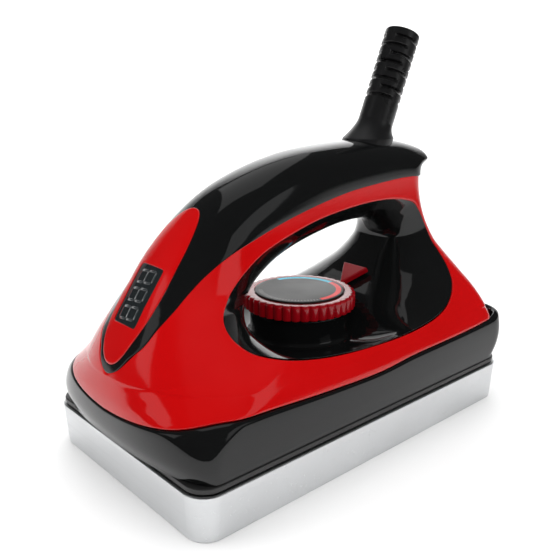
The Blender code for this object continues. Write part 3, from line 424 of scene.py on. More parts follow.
# Base: plate and flange
plate = {"halfX": 47.5, "halfY": 82.0, "thick": 16.7, "corner": 9.0, "draft": 1.0, "lowEdge": 0.7,
         "topEdge": 0.7, "rings": (3.0, 8.0, 13.0)}
flange = {"inset": 0.8, "low": 17.0, "high": 19.0, "edge": 0.35}


def roundedLoop(halfX, halfY, radius, cornerSteps=24, sideSteps=10):
    # a rectangle with round corners: four arcs joined by straight runs, as one closed loop of points
    arc = np.linspace(0, math.pi / 2, cornerSteps + 1)
    loop = []
    centres = [(halfX - radius, halfY - radius), (radius - halfX, halfY - radius),
               (radius - halfX, radius - halfY), (halfX - radius, radius - halfY)]
    corners = [np.stack([x + radius * np.cos(arc + quarter * math.pi / 2),
                         y + radius * np.sin(arc + quarter * math.pi / 2)], -1)
               for quarter, (x, y) in enumerate(centres)]
    for here, following in zip(corners, corners[1:] + corners[:1]):
        side = np.linspace(here[-1], following[0], sideSteps + 1)[1:-1]
        loop += [here, side]
    return np.vstack(loop)


def stackedBlock(profile, halfX, halfY, corner):
    # rounded rectangles stacked up a profile of (height, inset) and closed with a ring of ever smaller loops
    rings = []
    for height, inset in profile:
        loop = roundedLoop(halfX - inset, halfY - inset, max(corner - inset, 0.5))
        rings.append(np.column_stack([loop, np.full(len(loop), height)]))
    low, high = rings[0], rings[-1]
    centre = np.array([0.0, 0.0, 1.0])
    for share in (0.5, 0.02):
        rings.insert(0, low * (share, share, 1))
        rings.append(high * (share, share, 1))
    points = np.stack(rings)
    count = points.shape[1]
    faces = gridFaces(len(rings), count, wrapColumns=True)
    middle = np.array([points[0].mean(0), points[-1].mean(0)])
    ringIndex = np.arange(count)
    lowFan = np.stack([ringIndex, np.roll(ringIndex, -1), np.full(count, points.size // 3)], -1)
    last = (len(rings) - 1) * count
    highFan = np.stack([last + ringIndex, last + np.roll(ringIndex, -1),
                        np.full(count, points.size // 3 + 1)], -1)
    return np.vstack([points.reshape(-1, 3), middle]), faces, np.vstack([lowFan, highFan])


def quarterRound(radius, steps=5):
    # (rise, inset) pairs of a quarter circle from a vertical wall on to a level face
    angle = np.linspace(0, math.pi / 2, steps + 1)
    return [(radius * math.sin(a), radius * (1 - math.cos(a))) for a in angle]


def blockProfile(low, high, lowEdge, highEdge, lowInset, highInset, between, steps=5):
    # (height, inset) pairs up a block's side, with both edges rounded
    under = [(low + lowEdge - rise, lowInset + inset) for rise, inset in quarterRound(lowEdge, steps)]
    over = [(high - highEdge + rise, highInset + inset) for rise, inset in quarterRound(highEdge, steps)]
    return under[::-1] + between + over


def buildBase():
    between = [(height, plate["draft"] * (1 - height / plate["thick"])) for height in plate["rings"]]
    profile = blockProfile(0.0, plate["thick"], plate["lowEdge"], plate["topEdge"], plate["draft"], 0.0,
                           between)
    points, walls, caps = stackedBlock(profile, plate["halfX"], plate["halfY"], plate["corner"])
    block = makePiece("solePlate", points, walls.tolist() + caps.tolist(), finish["plate"], sharp=60)
    dress(block, "housing", "aluminium_plate", "sole_plate")
    edge, inset = flange["edge"], flange["inset"]
    profile = blockProfile(flange["low"], flange["high"], edge, edge, inset, inset, [], 3)
    points, walls, caps = stackedBlock(profile, plate["halfX"], plate["halfY"], plate["corner"])
    sheet = makePiece("baseFlange", points, walls.tolist() + caps.tolist(), finish["flangeBlack"], sharp=60)
    dress(sheet, "housing", "black_flange", "base_flange")


buildBase()
print("base made")


# Red body shell
shell = {"capRows": 26, "sideRows": 64, "stationStep": 0.1, "columns": 46, "crowd": 2.0, "footColumns": 10,
         "edgeRadius": 0.5, "edgeDrop": 1.6, "seamRadius": 0.45, "wall": 0.9}


def footPoint(position, share, inset, rearLine, lowLevel, highLevel, rearPower):
    # plan loop round the foot; position 0 is the nose, 1 to 2 the side, 3 the rear. The nose and the rear are
    # superellipse quarters; height and outline depend on each other, so both are settled in turns
    position, share, inset = (np.array(a, float) for a in np.broadcast_arrays(position, share, inset))
    height = np.full(position.shape, 36.0)
    noseDepth = 1 - np.cos(np.clip(position, 0, 1) * math.pi / 2)
    rearDepth = 1 - np.cos(np.clip(3 - position, 0, 1) * math.pi / 2)
    for _ in range(5):
        front = readCurve(body["noseLine"], height) + inset
        reach = readCurve(body["noseReach"], height)
        rear = readCurve(rearLine, height) - inset
        width = readCurve(body["widths"], height) - inset
        sideFront, sideRear = front + reach, rear - body["rearReach"]
        y = np.where(position <= 1, front + reach * noseDepth,
                     np.where(position < 2, sideFront + (sideRear - sideFront) * (position - 1),
                              rear - body["rearReach"] * rearDepth))
        x = width * np.where(position <= 1, superWidth(noseDepth, 1.0),
                             np.where(position < 2, 1.0, superWidth(rearDepth, 1.0, rearPower)))
        direction = np.degrees(np.arctan2(y, x))
        low, high = readCurve(lowLevel, direction), readCurve(highLevel, direction)
        height = low + share * (high - low)
    return np.stack([x, y, height], -1)


def footPositions(capRows, sideRows):
    return np.concatenate([np.linspace(0, 1, capRows + 1), np.linspace(1, 2, sideRows + 1)[1:],
                           np.linspace(2, 3, capRows + 1)[1:]])


def openingRows():
    # where the upper grid's rows start on the seam, the column and the foot, and end on the opening's edge
    edgePoints = seam["topInner"] + seam["rearInner"] + seam["footInner"]
    step = shell["stationStep"]
    topCount = 12 + len(seam["tail"])
    topPlaces = np.arange(0, topCount - step / 2, step)
    rearPlaces = np.arange(0, len(seam["rearOuter"]) - 1 - step / 2, step)
    positions = footPositions(shell["capRows"], shell["sideRows"])[::-1]
    footShare = np.interp(positions, [0, 1, 2, 3], [11, 8.6, 2.4, 0])[:-1]
    firstRear = topCount
    firstFoot = firstRear + len(seam["rearOuter"]) - 1
    places = np.concatenate([topPlaces, rearPlaces + firstRear, footShare + firstFoot])
    return edgePoints, topPlaces, rearPlaces, positions, places


def softenLevel(above, below, rounds=160, reach=18):
    # rounds off the line where the upper grid meets the foot band: each point there moves towards its two
    # neighbours, over and over, less and less towards the centre plane, where both halves have to meet
    count = below.shape[1]
    row = np.arange(len(below))
    fade = np.clip(np.minimum(row, len(below) - row) / 8, 0, 1)[:, None, None]
    joined = np.concatenate([below[:, :0:-1], above[:, :reach + 1]], 1)
    before = joined.copy()
    for _ in range(rounds):
        joined[:, 4:-1] = 0.5 * joined[:, 4:-1] + 0.25 * (joined[:, 3:-2] + joined[:, 5:])
    joined = before + (joined - before) * fade
    below[:, 0] = joined[:, count - 1]
    below[:, 1:] = joined[:, count - 2::-1]
    above[:, :reach + 1] = joined[:, count - 1:]


def buildShell():
    outline = bodyOutline()
    edgePoints, topPlaces, rearPlaces, positions, places = openingRows()
    level = footPoint(positions, 1.0, 0.0, foot["rearWall"], foot["shellLow"], foot["shellHigh"],
                      body["power"])
    level[[0, -1], 0] = 0.0
    seamSide, seamWidth = seamLine(seam["cover"][:13] + seam["tail"], topPlaces)
    outer = np.vstack([seamSide, splineAt(seam["rearOuter"], rearPlaces), level[:-1, 1:]])
    inner = splineAt(edgePoints, places, closed=True)
    share = np.linspace(0, 1, shell["columns"]) ** shell["crowd"]
    side = outer[:, None] + (inner - outer)[:, None] * share[:, None]
    width = halfWidth(side, outline)
    topRows, rearRows = len(topPlaces), len(rearPlaces)
    width[topRows:topRows + rearRows, 0] = 0.0
    fix = np.where(np.isnan(seamWidth), 0, seamWidth - width[:topRows, 0])
    width[:topRows] += fix[:, None] * (1 - share) ** 6
    width[topRows + rearRows:] += (level[:-1, 0] - width[topRows + rearRows:, 0])[:, None] * (1 - share) ** 3
    upper = np.concatenate([width[..., None], side], -1)
    drop = np.linspace(1, 0, shell["footColumns"])
    band = footPoint(positions[:, None], drop[None], 0.0, foot["rearWall"], foot["shellLow"],
                     foot["shellHigh"], body["power"])
    band[[0, -1], :, 0] = 0.0
    softenLevel(upper[topRows + rearRows:], band[:-1])
    outward = np.array([1.0, 0.0, 0.0])
    parts = [gridPart(upper, wrapRows=True), gridPart(band),
             gridPart(edgeStrip(upper[:, -3:], shell["edgeRadius"], shell["edgeDrop"], outward, True), True),
             gridPart(edgeStrip(upper[:topRows + 1, 2::-1], shell["seamRadius"], shell["edgeDrop"], outward)),
             gridPart(edgeStrip(band[:, -3:], shell["seamRadius"], shell["edgeDrop"], outward))]
    points, faces = joinParts(*parts)
    points, faces = joinParts((points, faces), mirrored(points, faces))
    piece = makePiece("bodyShell", points, faces, finish["glossRed"], weld=0.00004)
    thicken(piece, shell["wall"])
    return dress(piece, "housing", "gloss_red", "body_shell")


buildShell()
print("body shell made")


# Black skirt round the foot
skirt = {"capRows": 30, "sideRows": 70, "columns": 22, "lip": 0.95, "tall": 14.0}


def buildSkirt():
    bottom = [(-90, foot["skirtLow"]), (90, foot["skirtLow"])]
    lip, wall = skirt["lip"], foot["skirtWall"]
    angle = np.linspace(0, math.pi, 11)
    tall = skirt["tall"]
    rise = np.linspace(0, 1 - lip / tall, skirt["columns"])
    share = np.concatenate([rise, 1 - lip / tall + lip / tall * np.sin(angle[1:-1]), rise[::-1]])
    inset = np.concatenate([np.zeros(len(rise)), lip * (1 - np.cos(angle[1:-1])), np.full(len(rise), wall)])
    positions = footPositions(skirt["capRows"], skirt["sideRows"])
    half = footPoint(positions[:, None], share[None], inset[None], foot["rearLip"], bottom, foot["skirtTop"],
                     foot["lipPower"])
    half[[0, -1], :, 0] = 0.0
    whole = np.concatenate([half, half[-2:0:-1] * (-1, 1, 1)])
    piece = makePiece("baseSkirt", *gridPart(whole, True, True), finish["glossBlack"])
    return dress(piece, "housing", "gloss_black", "base_skirt")


buildSkirt()
print("skirt made")


# Handle cover with the oval panel and the display
cover = {"rows": 241, "firstRow": 3, "lastRow": 240, "columns": 26, "crowd": 2.4, "edgeRadius": 0.5,
         "edgeDrop": 1.4, "wall": 0.8}
# deepest and halvings: how far under the ridge the panel's surface is searched, and in how many steps
panel = {"origin": (-64.7, 70.0), "up": (0.6145, 0.789), "half": (10.5, 29.5), "power": 2.2, "lift": 0.3,
         "rows": 168, "columns": 30, "edge": 0.35, "outerDrop": 1.0, "innerDrop": 0.8, "deepest": 14.0,
         "halvings": 18, "ridgeRows": 130}
window = {"centreV": -5.6, "half": (6.75, 11.05), "power": 16.0, "lift": 0.06, "columns": 22, "share": 0.99,
          "wall": 0.8}
digits = {"count": 3, "pitch": 6.6, "tall": 8.2, "wide": 4.3, "bar": 0.85, "slant": 0.10, "gap": 0.14,
          "lift": 0.03, "wall": 0.02}


def buildCover():
    outline = coverOutline(cover["rows"])
    places = np.linspace(0, len(body["ridge"]) - 1, cover["rows"])[cover["firstRow"]:cover["lastRow"] + 1]
    ridge = outline[cover["firstRow"]:cover["lastRow"] + 1]
    edge, _ = seamLine(seam["cover"], places)
    inward = ridge - edge
    length = np.linalg.norm(inward, axis=1, keepdims=True)
    edge = edge + inward / length * np.minimum(seam["gap"], length / 3)
    across = np.linspace(-1, 1, 2 * cover["columns"] + 1)
    share = np.abs(across) ** cover["crowd"]
    side = ridge[:, None] + (edge - ridge)[:, None] * share[None, :, None]
    width = halfWidth(side, outline) * np.sign(across)
    grid = np.concatenate([width[..., None], side], -1)
    right = edgeStrip(grid[:, -3:], cover["edgeRadius"], cover["edgeDrop"], np.array([1.0, 0, 0]))
    left = edgeStrip(grid[:, 2::-1], cover["edgeRadius"], cover["edgeDrop"], np.array([-1.0, 0, 0]))
    points, faces = joinParts(gridPart(grid), gridPart(right), gridPart(left))
    piece = makePiece("handleCover", points, faces, finish["glossBlack"], weld=0.00001)
    thicken(piece, cover["wall"])
    return dress(piece, "housing", "gloss_black", "handle_cover")


def ovalPoint(angle, half, power):
    # point of a superellipse reached by scaling the circle's point outwards
    c, s = np.cos(angle), np.sin(angle)
    scale = (np.abs(c) ** power + np.abs(s) ** power) ** (-1 / power)
    return np.stack([half[0] * c * scale, half[1] * s * scale], -1)


def onCover(uv, lift):
    # points of the cover's surface over a place (u across, v up the nose): the depth under the ridge at which
    # the half width equals u is found by halving an interval; then the point is moved out by the lift
    outline = coverOutline(cover["rows"])[:panel["ridgeRows"]]
    up = np.array(panel["up"]) / np.linalg.norm(panel["up"])
    out = np.array([-up[1], up[0]])
    origin = np.array(panel["origin"])
    relative = outline - origin
    order = np.argsort(relative @ up)
    top = np.interp(uv[..., 1], (relative @ up)[order], (relative @ out)[order])
    low, high = np.zeros(top.shape), np.full(top.shape, panel["deepest"])
    for _ in range(panel["halvings"]):
        middle = (low + high) / 2
        side = origin + uv[..., 1, None] * up + (top - middle)[..., None] * out
        wide = halfWidth(side, outline) > np.abs(uv[..., 0])
        high, low = np.where(wide, middle, high), np.where(wide, low, middle)
    side = origin + uv[..., 1, None] * up + (top - low + lift)[..., None] * out
    return np.concatenate([uv[..., :1], side], -1)


def buildPanel():
    angle = fullTurn(panel["rows"])
    innerLoop = ovalPoint(angle, window["half"], window["power"]) + (0, window["centreV"])
    outerLoop = ovalPoint(angle, panel["half"], panel["power"])
    share = np.linspace(0, 1, panel["columns"])
    flat = innerLoop[:, None] + (outerLoop - innerLoop)[:, None] * share[None, :, None]
    grid = onCover(flat, panel["lift"])
    outward = np.array([0.0, -0.79, 0.61])
    parts = [gridPart(grid, True),
             gridPart(edgeStrip(grid[:, -3:], panel["edge"], panel["outerDrop"], outward, True), True),
             gridPart(edgeStrip(grid[:, 2::-1], panel["edge"], panel["innerDrop"], outward, True), True)]
    piece = makePiece("displayFascia", *joinParts(*parts), finish["glossRed"], weld=0.00001)
    dress(piece, "housing", "gloss_red", "display_fascia")
    share = np.linspace(0, 1, window["columns"])[None, :, None]
    centre = np.array([0, window["centreV"]])
    flat = centre + (innerLoop - centre)[:, None] * share * window["share"]
    pane = makePiece("displayWindow", *gridPart(onCover(flat, window["lift"]), True), finish["paneBlack"],
                     weld=0.000002)
    thicken(pane, window["wall"])
    dress(pane, "housing", "smoked_pane", "display_window")


def segmentBars():
    # the seven bars of a digit as (centre, half length, along the digit's height or not) in digit units
    tall, wide = digits["tall"] / 2, digits["wide"] / 2
    level = [((0, height), wide, False) for height in (-tall, 0, tall)]
    upright = [((side * wide, half * tall / 2), tall / 2, True) for side in (-1, 1) for half in (-1, 1)]
    return level + upright


def buildDigits():
    bar, gap = digits["bar"] / 2, digits["gap"]
    loops = []
    for number in range(digits["count"]):
        for (acrossAt, upAt), reach, upright in segmentBars():
            reach -= gap
            hexagon = np.array([(-reach, 0), (-reach + bar, -bar), (reach - bar, -bar), (reach, 0),
                                (reach - bar, bar), (-reach + bar, bar)])
            hexagon = hexagon[:, ::-1] * (1, 1) if upright else hexagon
            flat = hexagon + (acrossAt, upAt)
            flat[:, 0] += digits["slant"] * flat[:, 1]
            loops.append(np.stack([flat[:, 1], flat[:, 0] + (number - 1) * digits["pitch"]], -1))
    flat = np.array(loops) + (0, window["centreV"])
    flat = np.concatenate([flat, flat.mean(1, keepdims=True)], 1)
    points = onCover(flat, window["lift"] + digits["lift"])
    start = np.arange(len(loops))[:, None, None] * 7
    corner = np.arange(6)
    fan = np.stack([corner, (corner + 1) % 6, np.full(6, 6)], -1)[None]
    piece = makePiece("displaySegments", points, (start + fan).reshape(-1, 3), finish["segmentGrey"],
                      weld=0.000001)
    thicken(piece, digits["wall"])
    return dress(piece, "housing", "smoked_pane")


buildCover()
buildPanel()
buildDigits()
print("handle cover, panel and display made")


# Lining of the hand gap, with the dial's turret on its floor
liner = {"throat": [(-36, 56), (-27, 64.5), (-17, 70.3), (-7, 74), (4, 76.8), (15, 79), (27, 80), (37, 79.5),
                    (45, 76.5), (48.5, 71), (47, 65.5), (43, 60.3), (38, 55.4), (33, 52), (28, 48.9),
                    (23, 44.4), (18, 39.5), (11, 36.9), (0, 36.5), (-12, 36.5), (-22, 37.2), (-30, 40),
                    (-34.5, 44.5), (-37, 50)],
         "power": [(-180, 2.4), (-140, 3.5), (-90, 5), (-40, 4.5), (0, 3.5), (40, 2.6), (90, 2.4),
                   (180, 2.4)],
         "inset": 0.55, "setBack": 0.45, "columns": 46, "wall": 1.6, "rimTaper": 9, "rimWall": 0.1}
turret = {"radius": 20.0, "top": 47.6, "low": 35.6, "floor": 36.8, "edge": 0.8, "fillet": 2.2, "sides": 128}


def radiusByAngle(points, angles):
    # closed smooth loop read at directions from the gap's centre
    centre = np.array(body["gapCentre"])
    loop = splineAt(points, np.linspace(0, len(points), len(points) * 24, endpoint=False),
                    closed=True) - centre
    direction = np.arctan2(loop[:, 1], loop[:, 0])
    order = np.argsort(direction)
    return np.interp(angles, direction[order], np.linalg.norm(loop, axis=1)[order], period=math.tau)


def buildLiner():
    outline = bodyOutline()
    edgePoints, _, _, _, places = openingRows()
    centre = np.array(body["gapCentre"])
    edge = splineAt(edgePoints, places, closed=True)
    tangent = np.roll(edge, -1, 0) - np.roll(edge, 1, 0)
    normal = np.stack([-tangent[:, 1], tangent[:, 0]], -1) / np.linalg.norm(tangent, axis=1, keepdims=True)
    normal *= np.sign((normal * (centre - edge)).sum(1, keepdims=True))
    edge = edge + normal * liner["inset"]
    angles = np.arctan2(*(edge - centre).T[::-1])
    radius = radiusByAngle(liner["throat"], angles)
    throat = centre + radius[:, None] * np.stack([np.cos(angles), np.sin(angles)], -1)
    rim = halfWidth(edge, outline) - liner["setBack"]
    power = readCurve(liner["power"], np.degrees(angles))
    across = np.sin(np.linspace(-1, 1, 2 * liner["columns"] + 1) * math.pi / 2)
    share = np.abs(across)[None] ** power[:, None]
    side = throat[:, None] + (edge - throat)[:, None] * share[..., None]
    outer = np.concatenate([(rim[:, None] * across[None])[..., None], side], -1)
    thick = np.clip((1 - np.abs(across)) * liner["rimTaper"], liner["rimWall"], 1) * liner["wall"]
    radial = np.stack([np.zeros(len(angles)), np.cos(angles), np.sin(angles)], -1)
    inner = outer + radial[:, None] * thick[None, :, None]
    points = np.concatenate([outer, inner[:, ::-1]], 1)
    return gridPart(points, True, True)


def turnedGrid(profile, centre, sides):
    # a closed outline of (radius, height) swept round a vertical axis
    profile = np.asarray(profile, float)
    angle = fullTurn(sides)[:, None]
    return np.stack([centre[0] + profile[:, 0] * np.cos(angle), centre[1] + profile[:, 0] * np.sin(angle),
                     np.broadcast_to(profile[:, 1], (sides, len(profile)))], -1)


def arcPoints(centre, radius, start, end, steps=6):
    angle = np.radians(np.linspace(start, end, steps + 1))
    return [(centre[0] + radius * math.cos(a), centre[1] + radius * math.sin(a)) for a in angle]


def buildGrip():
    radius, top, edge = turret["radius"], turret["top"], turret["edge"]
    fillet = turret["fillet"]
    profile = [(0, turret["low"]), (radius + fillet, turret["low"])]
    profile += arcPoints((radius + fillet, turret["floor"] + fillet), fillet, 270, 180)
    profile += [(radius, 42.0), (radius, 45.0)]
    profile += arcPoints((radius - edge, top - edge), edge, 0, 90)
    profile += [(12.0, top), (0, top)]
    tower = turnedGrid(profile, (0.0, dial["centreY"]), turret["sides"])
    points, faces = joinParts(buildLiner(), gridPart(tower, True))
    piece = makePiece("gripLiner", points, faces, finish["glossBlack"])
    return dress(piece, "housing", "gloss_black", "grip_liner")


# Dial
dial = {"centreY": 3.1, "radius": 22.5, "low": 48.0, "top": 54.0, "flutes": 38, "fluteDepth": 1.0,
        "perFlute": 14, "seatRadius": 18.2, "seat": 53.4}
disc = {"radius": 17.9, "low": 53.45, "top": 54.5, "bevel": 0.35}
scaleArc = {"innerRadius": 14.7, "outerRadius": 16.8, "cool": (82, 171), "hot": (-12, 82),
            "ticks": (-130, -16), "tickRadius": (15.0, 16.6)}


def buildDialRing():
    # closed outline round the axis; the outer wall dips between the ribs by a rounded wave of the angle
    low, top, radius = dial["low"], dial["top"], dial["radius"]
    profile = [(0, low + 2.6), (15.6, low + 2.6), (16.0, low), (radius - 0.9, low)]
    profile += arcPoints((radius - 0.5, low + 0.5), 0.5, 280, 360, 4)
    profile += [(radius, low + 1.5), (radius, low + 2.6), (radius, low + 3.6)]
    profile += arcPoints((radius - 1.1, top - 1.1), 1.1, 0, 90, 8)
    profile += [(radius - 2.2, top), (dial["seatRadius"] + 0.35, top)]
    profile += arcPoints((dial["seatRadius"] + 0.35, top - 0.3), 0.3, 90, 180, 3)
    profile += [(dial["seatRadius"], dial["seat"]), (0, dial["seat"])]
    sides = dial["flutes"] * dial["perFlute"]
    grid = turnedGrid(profile, (0.0, 0.0), sides)
    angle = fullTurn(sides)[:, None]
    wave = 1 - np.abs(np.cos(angle * dial["flutes"] / 2)) ** 0.7
    reach = np.clip((np.array(profile)[:, 0] - (radius - 2.0)) / 1.6, 0, 1)[None]
    scale = 1 - dial["fluteDepth"] * wave * reach / radius
    grid[..., :2] *= scale[..., None]
    grid[..., 1] += dial["centreY"]
    # the ring gets the darker red: the gloss red with painted shade of the hand gap
    piece = makePiece("dialRing", *gridPart(grid, True, True), finish["gapShadedRed"], sharp=50)
    return dress(piece, "dial", "gloss_red", "dial_ring")


def rampMask(tree, value, low, high, soft):
    # 1 between low and high, with soft ends
    rise = mapRange(tree, low - soft, low + soft)
    fall = mapRange(tree, high - soft, high + soft, 1.0, 0.0)
    tree.links.new(value, rise.inputs["Value"])
    tree.links.new(value, fall.inputs["Value"])
    return joinValues(tree, "MULTIPLY", rise.outputs["Result"], fall.outputs["Result"])


def joinValues(tree, operation, first, second=None):
    node = groupNode(tree, "ShaderNodeMath", operation=operation)
    for socket, value in zip(node.inputs, (first, second)):
        if isinstance(value, (int, float)):
            socket.default_value = value
        elif value is not None:
            tree.links.new(value, socket)
    return node.outputs["Value"]


def discMaterial():
    # printed scale: two coloured arcs and fine ticks, from the angle and the radius round the dial's axis
    material = mouldedMaterial("printedDisc", (0.010, 0.009, 0.008), (0.006, 0.006, 0.005), (0.30, 0.42),
                               specular=0.25)
    tree = material.node_tree
    shader = tree.nodes["Principled BSDF"]
    place = groupNode(tree, "ShaderNodeTexCoord")
    centre = groupNode(tree, "ShaderNodeMapping")
    fill(centre, {"Location": (0, -dial["centreY"], 0), "Scale": (1 / mm,) * 3})
    wire(place, "Object", centre, "Vector")
    parts = groupNode(tree, "ShaderNodeSeparateXYZ")

    def product(first, second):
        return joinValues(tree, "MULTIPLY", first, second)

    wire(centre, "Vector", parts, "Vector")
    x, y = parts.outputs["X"], parts.outputs["Y"]
    radius = joinValues(tree, "SQRT", joinValues(tree, "ADD", product(x, x), product(y, y)))
    angle = joinValues(tree, "DEGREES", joinValues(tree, "ARCTAN2", y, x))
    ring = rampMask(tree, radius, scaleArc["innerRadius"], scaleArc["outerRadius"], 0.08)
    cool = product(ring, rampMask(tree, angle, *scaleArc["cool"], 0.6))
    hot = product(ring, rampMask(tree, angle, *scaleArc["hot"], 0.6))
    phase = joinValues(tree, "PINGPONG", angle, 2.25)
    line = rampMask(tree, phase, -0.30, 0.30, 0.08)
    tickRing = rampMask(tree, radius, *scaleArc["tickRadius"], 0.06)
    ticks = product(product(line, tickRing), rampMask(tree, angle, *scaleArc["ticks"], 0.3))
    colour = shader.inputs["Base Color"].links[0].from_socket
    for mask, paint in ((cool, (0.03, 0.52, 0.72)), (hot, (0.85, 0.01, 0.01)), (ticks, (0.40, 0.40, 0.38))):
        mix = groupNode(tree, "ShaderNodeMix", data_type="RGBA")
        fill(mix, {"B": (*paint, 1.0)})
        tree.links.new(mask, mix.inputs["Factor"])
        tree.links.new(colour, mix.inputs["A"])
        colour = mix.outputs["Result"]
    tree.links.new(colour, shader.inputs["Base Color"])
    return material


def buildDisc():
    bevel, radius = disc["bevel"], disc["radius"]
    profile = [(0, disc["low"]), (radius, disc["low"]), (radius, disc["top"] - bevel)]
    profile += arcPoints((radius - bevel, disc["top"] - bevel), bevel, 0, 90, 4)
    profile += [(radius * share, disc["top"]) for share in (0.9, 0.75, 0.6, 0.4, 0.2, 0.0)]
    piece = makePiece("dialDisc", *gridPart(turnedGrid(profile, (0.0, dial["centreY"]), 128), True),
                      discMaterial())
    return dress(piece, "dial", "printed_disc", "dial_scale_disc")


buildGrip()
buildDialRing()
buildDisc()
print("grip liner and dial made")


# Pointer behind the dial
pointer = {"tip": (28.4, 49.9), "base": (37.9, 56.1), "halfBase": 6.6, "low": 0.3, "thick": 2.7,
           "bevel": 0.45}


def buildPointer():
    tip, base = np.array(pointer["tip"]), np.array(pointer["base"])
    up = (base - tip) / np.linalg.norm(base - tip)
    out = np.array([-up[1], up[0]])
    length = np.linalg.norm(base - tip)
    outline = np.array([(0, 0), (pointer["halfBase"], length), (-pointer["halfBase"], length)])
    levels = np.array([pointer["low"], pointer["low"] + pointer["thick"]])
    side = tip + outline[None, :, 1, None] * up + levels[:, None, None] * out
    points = np.concatenate([np.broadcast_to(outline[None, :, :1], (2, 3, 1)), side], -1).reshape(-1, 3)
    faces = [[2, 1, 0], [3, 4, 5], [0, 1, 4, 3], [1, 2, 5, 4], [2, 0, 3, 5]]
    # the pointer gets the darker red: the gloss red with painted shade of the hand gap
    piece = makePiece("dialPointer", points, faces, finish["gapShadedRed"], sharp=30)
    edge = piece.modifiers.new("softEdges", "BEVEL")
    edge.width, edge.segments, edge.limit_method = pointer["bevel"] * mm, 4, "ANGLE"
    edge.harden_normals = True
    return dress(piece, "housing", "gloss_red", "dial_pointer")


# Cord guard
guard = {"footY": 43.6, "footZ": 112.2, "tilt": 23.2, "length": 45.3, "radius": 7.3, "groove": 5.7,
         "bore": 3.7, "start": 14.5, "levels": 8, "blockHeight": 2.2, "sunk": 3.4, "endRound": 0.7,
         "flareHeight": 6.5, "flare": 3.3, "flareForward": 1.8, "levelHeight": 6.0, "bridge": (0.93, 0.06),
         "slotEdge": 0.35, "sides": 192, "rows": 360, "endRing": 2.2}


def stepUp(value, edge, soft):
    t = np.clip((value - edge) / soft + 0.5, 0, 1)
    return t * t * (3 - 2 * t)


def buildGuard():
    # sleeve round a tilted axis; the radius drops to the groove in slots that are turned from level to level,
    # and widens to a foot that leans forwards
    angle = fullTurn(guard["sides"])[:, None]
    height = np.linspace(-guard["sunk"], guard["length"], guard["rows"])[None]
    pitch = (guard["length"] - guard["endRing"] - guard["start"]) / guard["levels"]
    phase = (height - guard["start"]) / pitch
    level = np.floor(phase)
    within = phase - level
    slotShare = 1 - guard["blockHeight"] / pitch
    soft = guard["slotEdge"] / pitch
    slot = stepUp(within, 0.5 - slotShare / 2, soft) * (1 - stepUp(within, 0.5 + slotShare / 2, soft))
    slot = slot * ((phase >= 0) & (phase < guard["levels"]))
    turn = angle + level * math.pi / 2
    bridge = stepUp(np.abs(np.cos(turn)), *guard["bridge"])
    radius = guard["radius"] - (guard["radius"] - guard["groove"]) * slot * (1 - bridge)
    flare = np.clip(1 - height / guard["flareHeight"], 0, 1) ** 1.8
    radius = radius + flare * guard["flare"]
    end = np.clip((height - guard["length"] + guard["endRound"]) / guard["endRound"], 0, 1)
    radius = radius - guard["endRound"] * (1 - np.sqrt(np.clip(1 - end ** 2, 0, 1)))
    share = np.clip(height / guard["levelHeight"], 0, 1)     # the rings turn level towards the foot
    tilt = math.radians(guard["tilt"])
    lean = tilt * share * np.ones_like(angle)
    side = np.stack([np.zeros_like(lean), np.cos(lean), -np.sin(lean)], -1)
    axisY = guard["footY"] + math.sin(tilt) * height - guard["flareForward"] * flare
    axisZ = guard["footZ"] + math.cos(tilt) * height
    axisPoint = np.stack(np.broadcast_arrays(0 * lean, axisY, axisZ), -1)
    wide = np.array([1.0, 0, 0])
    outer = axisPoint + radius[..., None] * (np.cos(angle)[..., None] * wide
                                             + np.sin(angle)[..., None] * side)
    boreHeight = np.array([guard["length"], guard["length"] - 0.8, guard["length"] - 12, 10.0, 1.0])
    boreRadius = guard["bore"] + np.array([0.5, 0, 0, 0, 0])
    back = np.array([0.0, math.cos(tilt), -math.sin(tilt)])
    boreAxis = np.stack([0 * boreHeight, guard["footY"] + math.sin(tilt) * boreHeight,
                         guard["footZ"] + math.cos(tilt) * boreHeight], -1)
    inner = boreAxis[None] + boreRadius[None, :, None] * (np.cos(angle)[..., None] * wide
                                                          + np.sin(angle)[..., None] * back)
    grid = np.concatenate([outer, inner], 1)
    piece = makePiece("cordGuard", *gridPart(grid, True, True), finish["guardRubber"], sharp=60)
    return dress(piece, "housing", "guard_rubber", "cord_guard")


buildPointer()
buildGuard()
print("pointer and cord guard made")


# Inner pieces keep their modelled shape and get their own finish
innerFinish = {
    "zinc": ["heating_element", "element_clamp_plate", "heat_shield", "thermal_fuse", "potentiometer_nut",
             "potentiometer_shaft", "cord_clamp_screw_1", "cord_clamp_screw_2"]
            + [f"clamp_screw_{n}" for n in range(1, 5)] + [f"base_screw_{n}" for n in range(1, 5)],
    "mica": ["insulation_sheet"],
    "ivory": ["temperature_sensor", "cord_clamp", "potentiometer", "terminal_block", "ribbon_cable",
              "filter_capacitor"],
    "board": ["control_board", "display_board"],
    "componentBlack": ["triac", "display_module"],
    "heatsink": ["triac_heatsink"],
    "copper": ["element_lead_left", "element_lead_right"],
}
for finishName, nodeNames in innerFinish.items():
    for nodeName in nodeNames:
        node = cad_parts[nodeName]
        node.data.materials.clear()
        node.data.materials.append(finish[finishName])
print("inner pieces finished")


# Floor, light and camera
stage = {"floorColour": (0.93, 0.93, 0.93), "reach": 1.6, "rise": 1.2, "curve": 0.5, "world": 0.06,
         "drift": 0.985}
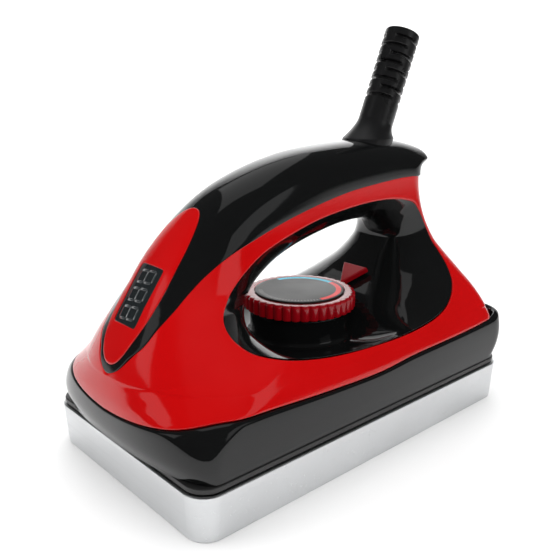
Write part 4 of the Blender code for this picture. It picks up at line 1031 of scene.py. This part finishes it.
# name, place, what it points at, width, height, watts, and whether polished surfaces mirror it
lamps = [("skyFill", (0.1, 0.2, 1.3), (0.0, 0.0, 0.0), 2.0, 2.0, 22.0, False),
         ("leftFill", (-0.9, -0.9, 0.8), (0.0, 0.0, 0.05), 1.2, 1.2, 10.0, False),
         ("rightFill", (1.1, -0.5, 0.7), (0.0, 0.0, 0.05), 1.2, 1.2, 12.0, False),
         ("backFill", (-0.75, 0.68, 1.1), (-1.55, 1.40, 0.25), 2.6, 0.8, 34.0, False),
         ("topBox", (-0.25, 0.15, 0.75), (0.0, 0.0, 0.06), 0.45, 0.7, 0.60, True),
         ("noseBox", (-0.25, -0.95, 0.55), (0.0, 0.0, 0.06), 0.35, 0.5, 0.40, True),
         ("sideBox", (0.95, 0.35, 0.50), (0.0, 0.0, 0.06), 0.5, 0.45, 0.45, True)]
camera = {"place": (193.65, -182.12, 136.92), "right": (0.6697, 0.7426, 0.0), "up": (-0.2097, 0.1891, 0.9593),
          "lens": 44.67}


def buildFloor():
    # a pale sweep: level near the iron, then a quarter circle up into a wall behind it
    angle = np.linspace(0, math.pi / 2, 17)
    reach, curve = stage["reach"], stage["curve"]
    along = np.concatenate([[-2.2, 0.0], reach + curve * np.sin(angle), [reach + curve]])
    height = np.concatenate([[0, 0], curve * (1 - np.cos(angle)), [curve + stage["rise"]]])
    right = np.array(camera["right"])
    forward = np.array([-right[1], right[0], 0.0])
    sideways = np.array([-3.5, 3.5])
    grid = (along[:, None, None] * forward + sideways[None, :, None] * right
            + height[:, None, None] * np.array([0, 0, 1.0]))
    colour = stage["floorColour"]
    material = mouldedMaterial("paleFloor", colour, tuple(stage["drift"] * value for value in colour),
                               (0.5, 0.6), broadScale=3.0, bump=0.0, specular=0.2)
    floor = makePiece("floor", grid / mm, gridFaces(*grid.shape[:2]), material)


def buildLight():
    world = bpy.data.worlds.new("studio")
    world.use_nodes = True
    fill(world.node_tree.nodes["Background"], {"Color": (1, 1, 1, 1), "Strength": stage["world"]})
    bpy.context.scene.world = world
    for name, place, target, sizeX, sizeY, power, mirroredInGloss in lamps:
        lamp = bpy.data.lights.new(name, "AREA")
        lamp.shape, lamp.size, lamp.size_y, lamp.energy = "RECTANGLE", sizeX, sizeY, power
        holder = bpy.data.objects.new(name, lamp)
        holder.location = place
        holder.visible_glossy = mirroredInGloss
        holder.visible_camera = False
        holder.rotation_euler = (Vector(target) - Vector(place)).to_track_quat("-Z", "Y").to_euler()
        bpy.context.scene.collection.objects.link(holder)


def buildCamera():
    eye = bpy.data.cameras.new("camera")
    eye.lens, eye.sensor_width = camera["lens"], 36.0
    eye.clip_start = 0.01
    holder = bpy.data.objects.new("camera", eye)
    right, up = Vector(camera["right"]).normalized(), Vector(camera["up"]).normalized()
    turn = Matrix((right, up, right.cross(up))).transposed().to_4x4()
    holder.matrix_world = Matrix.Translation(Vector(camera["place"]) * mm) @ turn
    bpy.context.scene.collection.objects.link(holder)
    bpy.context.scene.camera = holder


buildFloor()
buildLight()
buildCamera()
bpy.context.scene.view_settings.view_transform = "Standard"
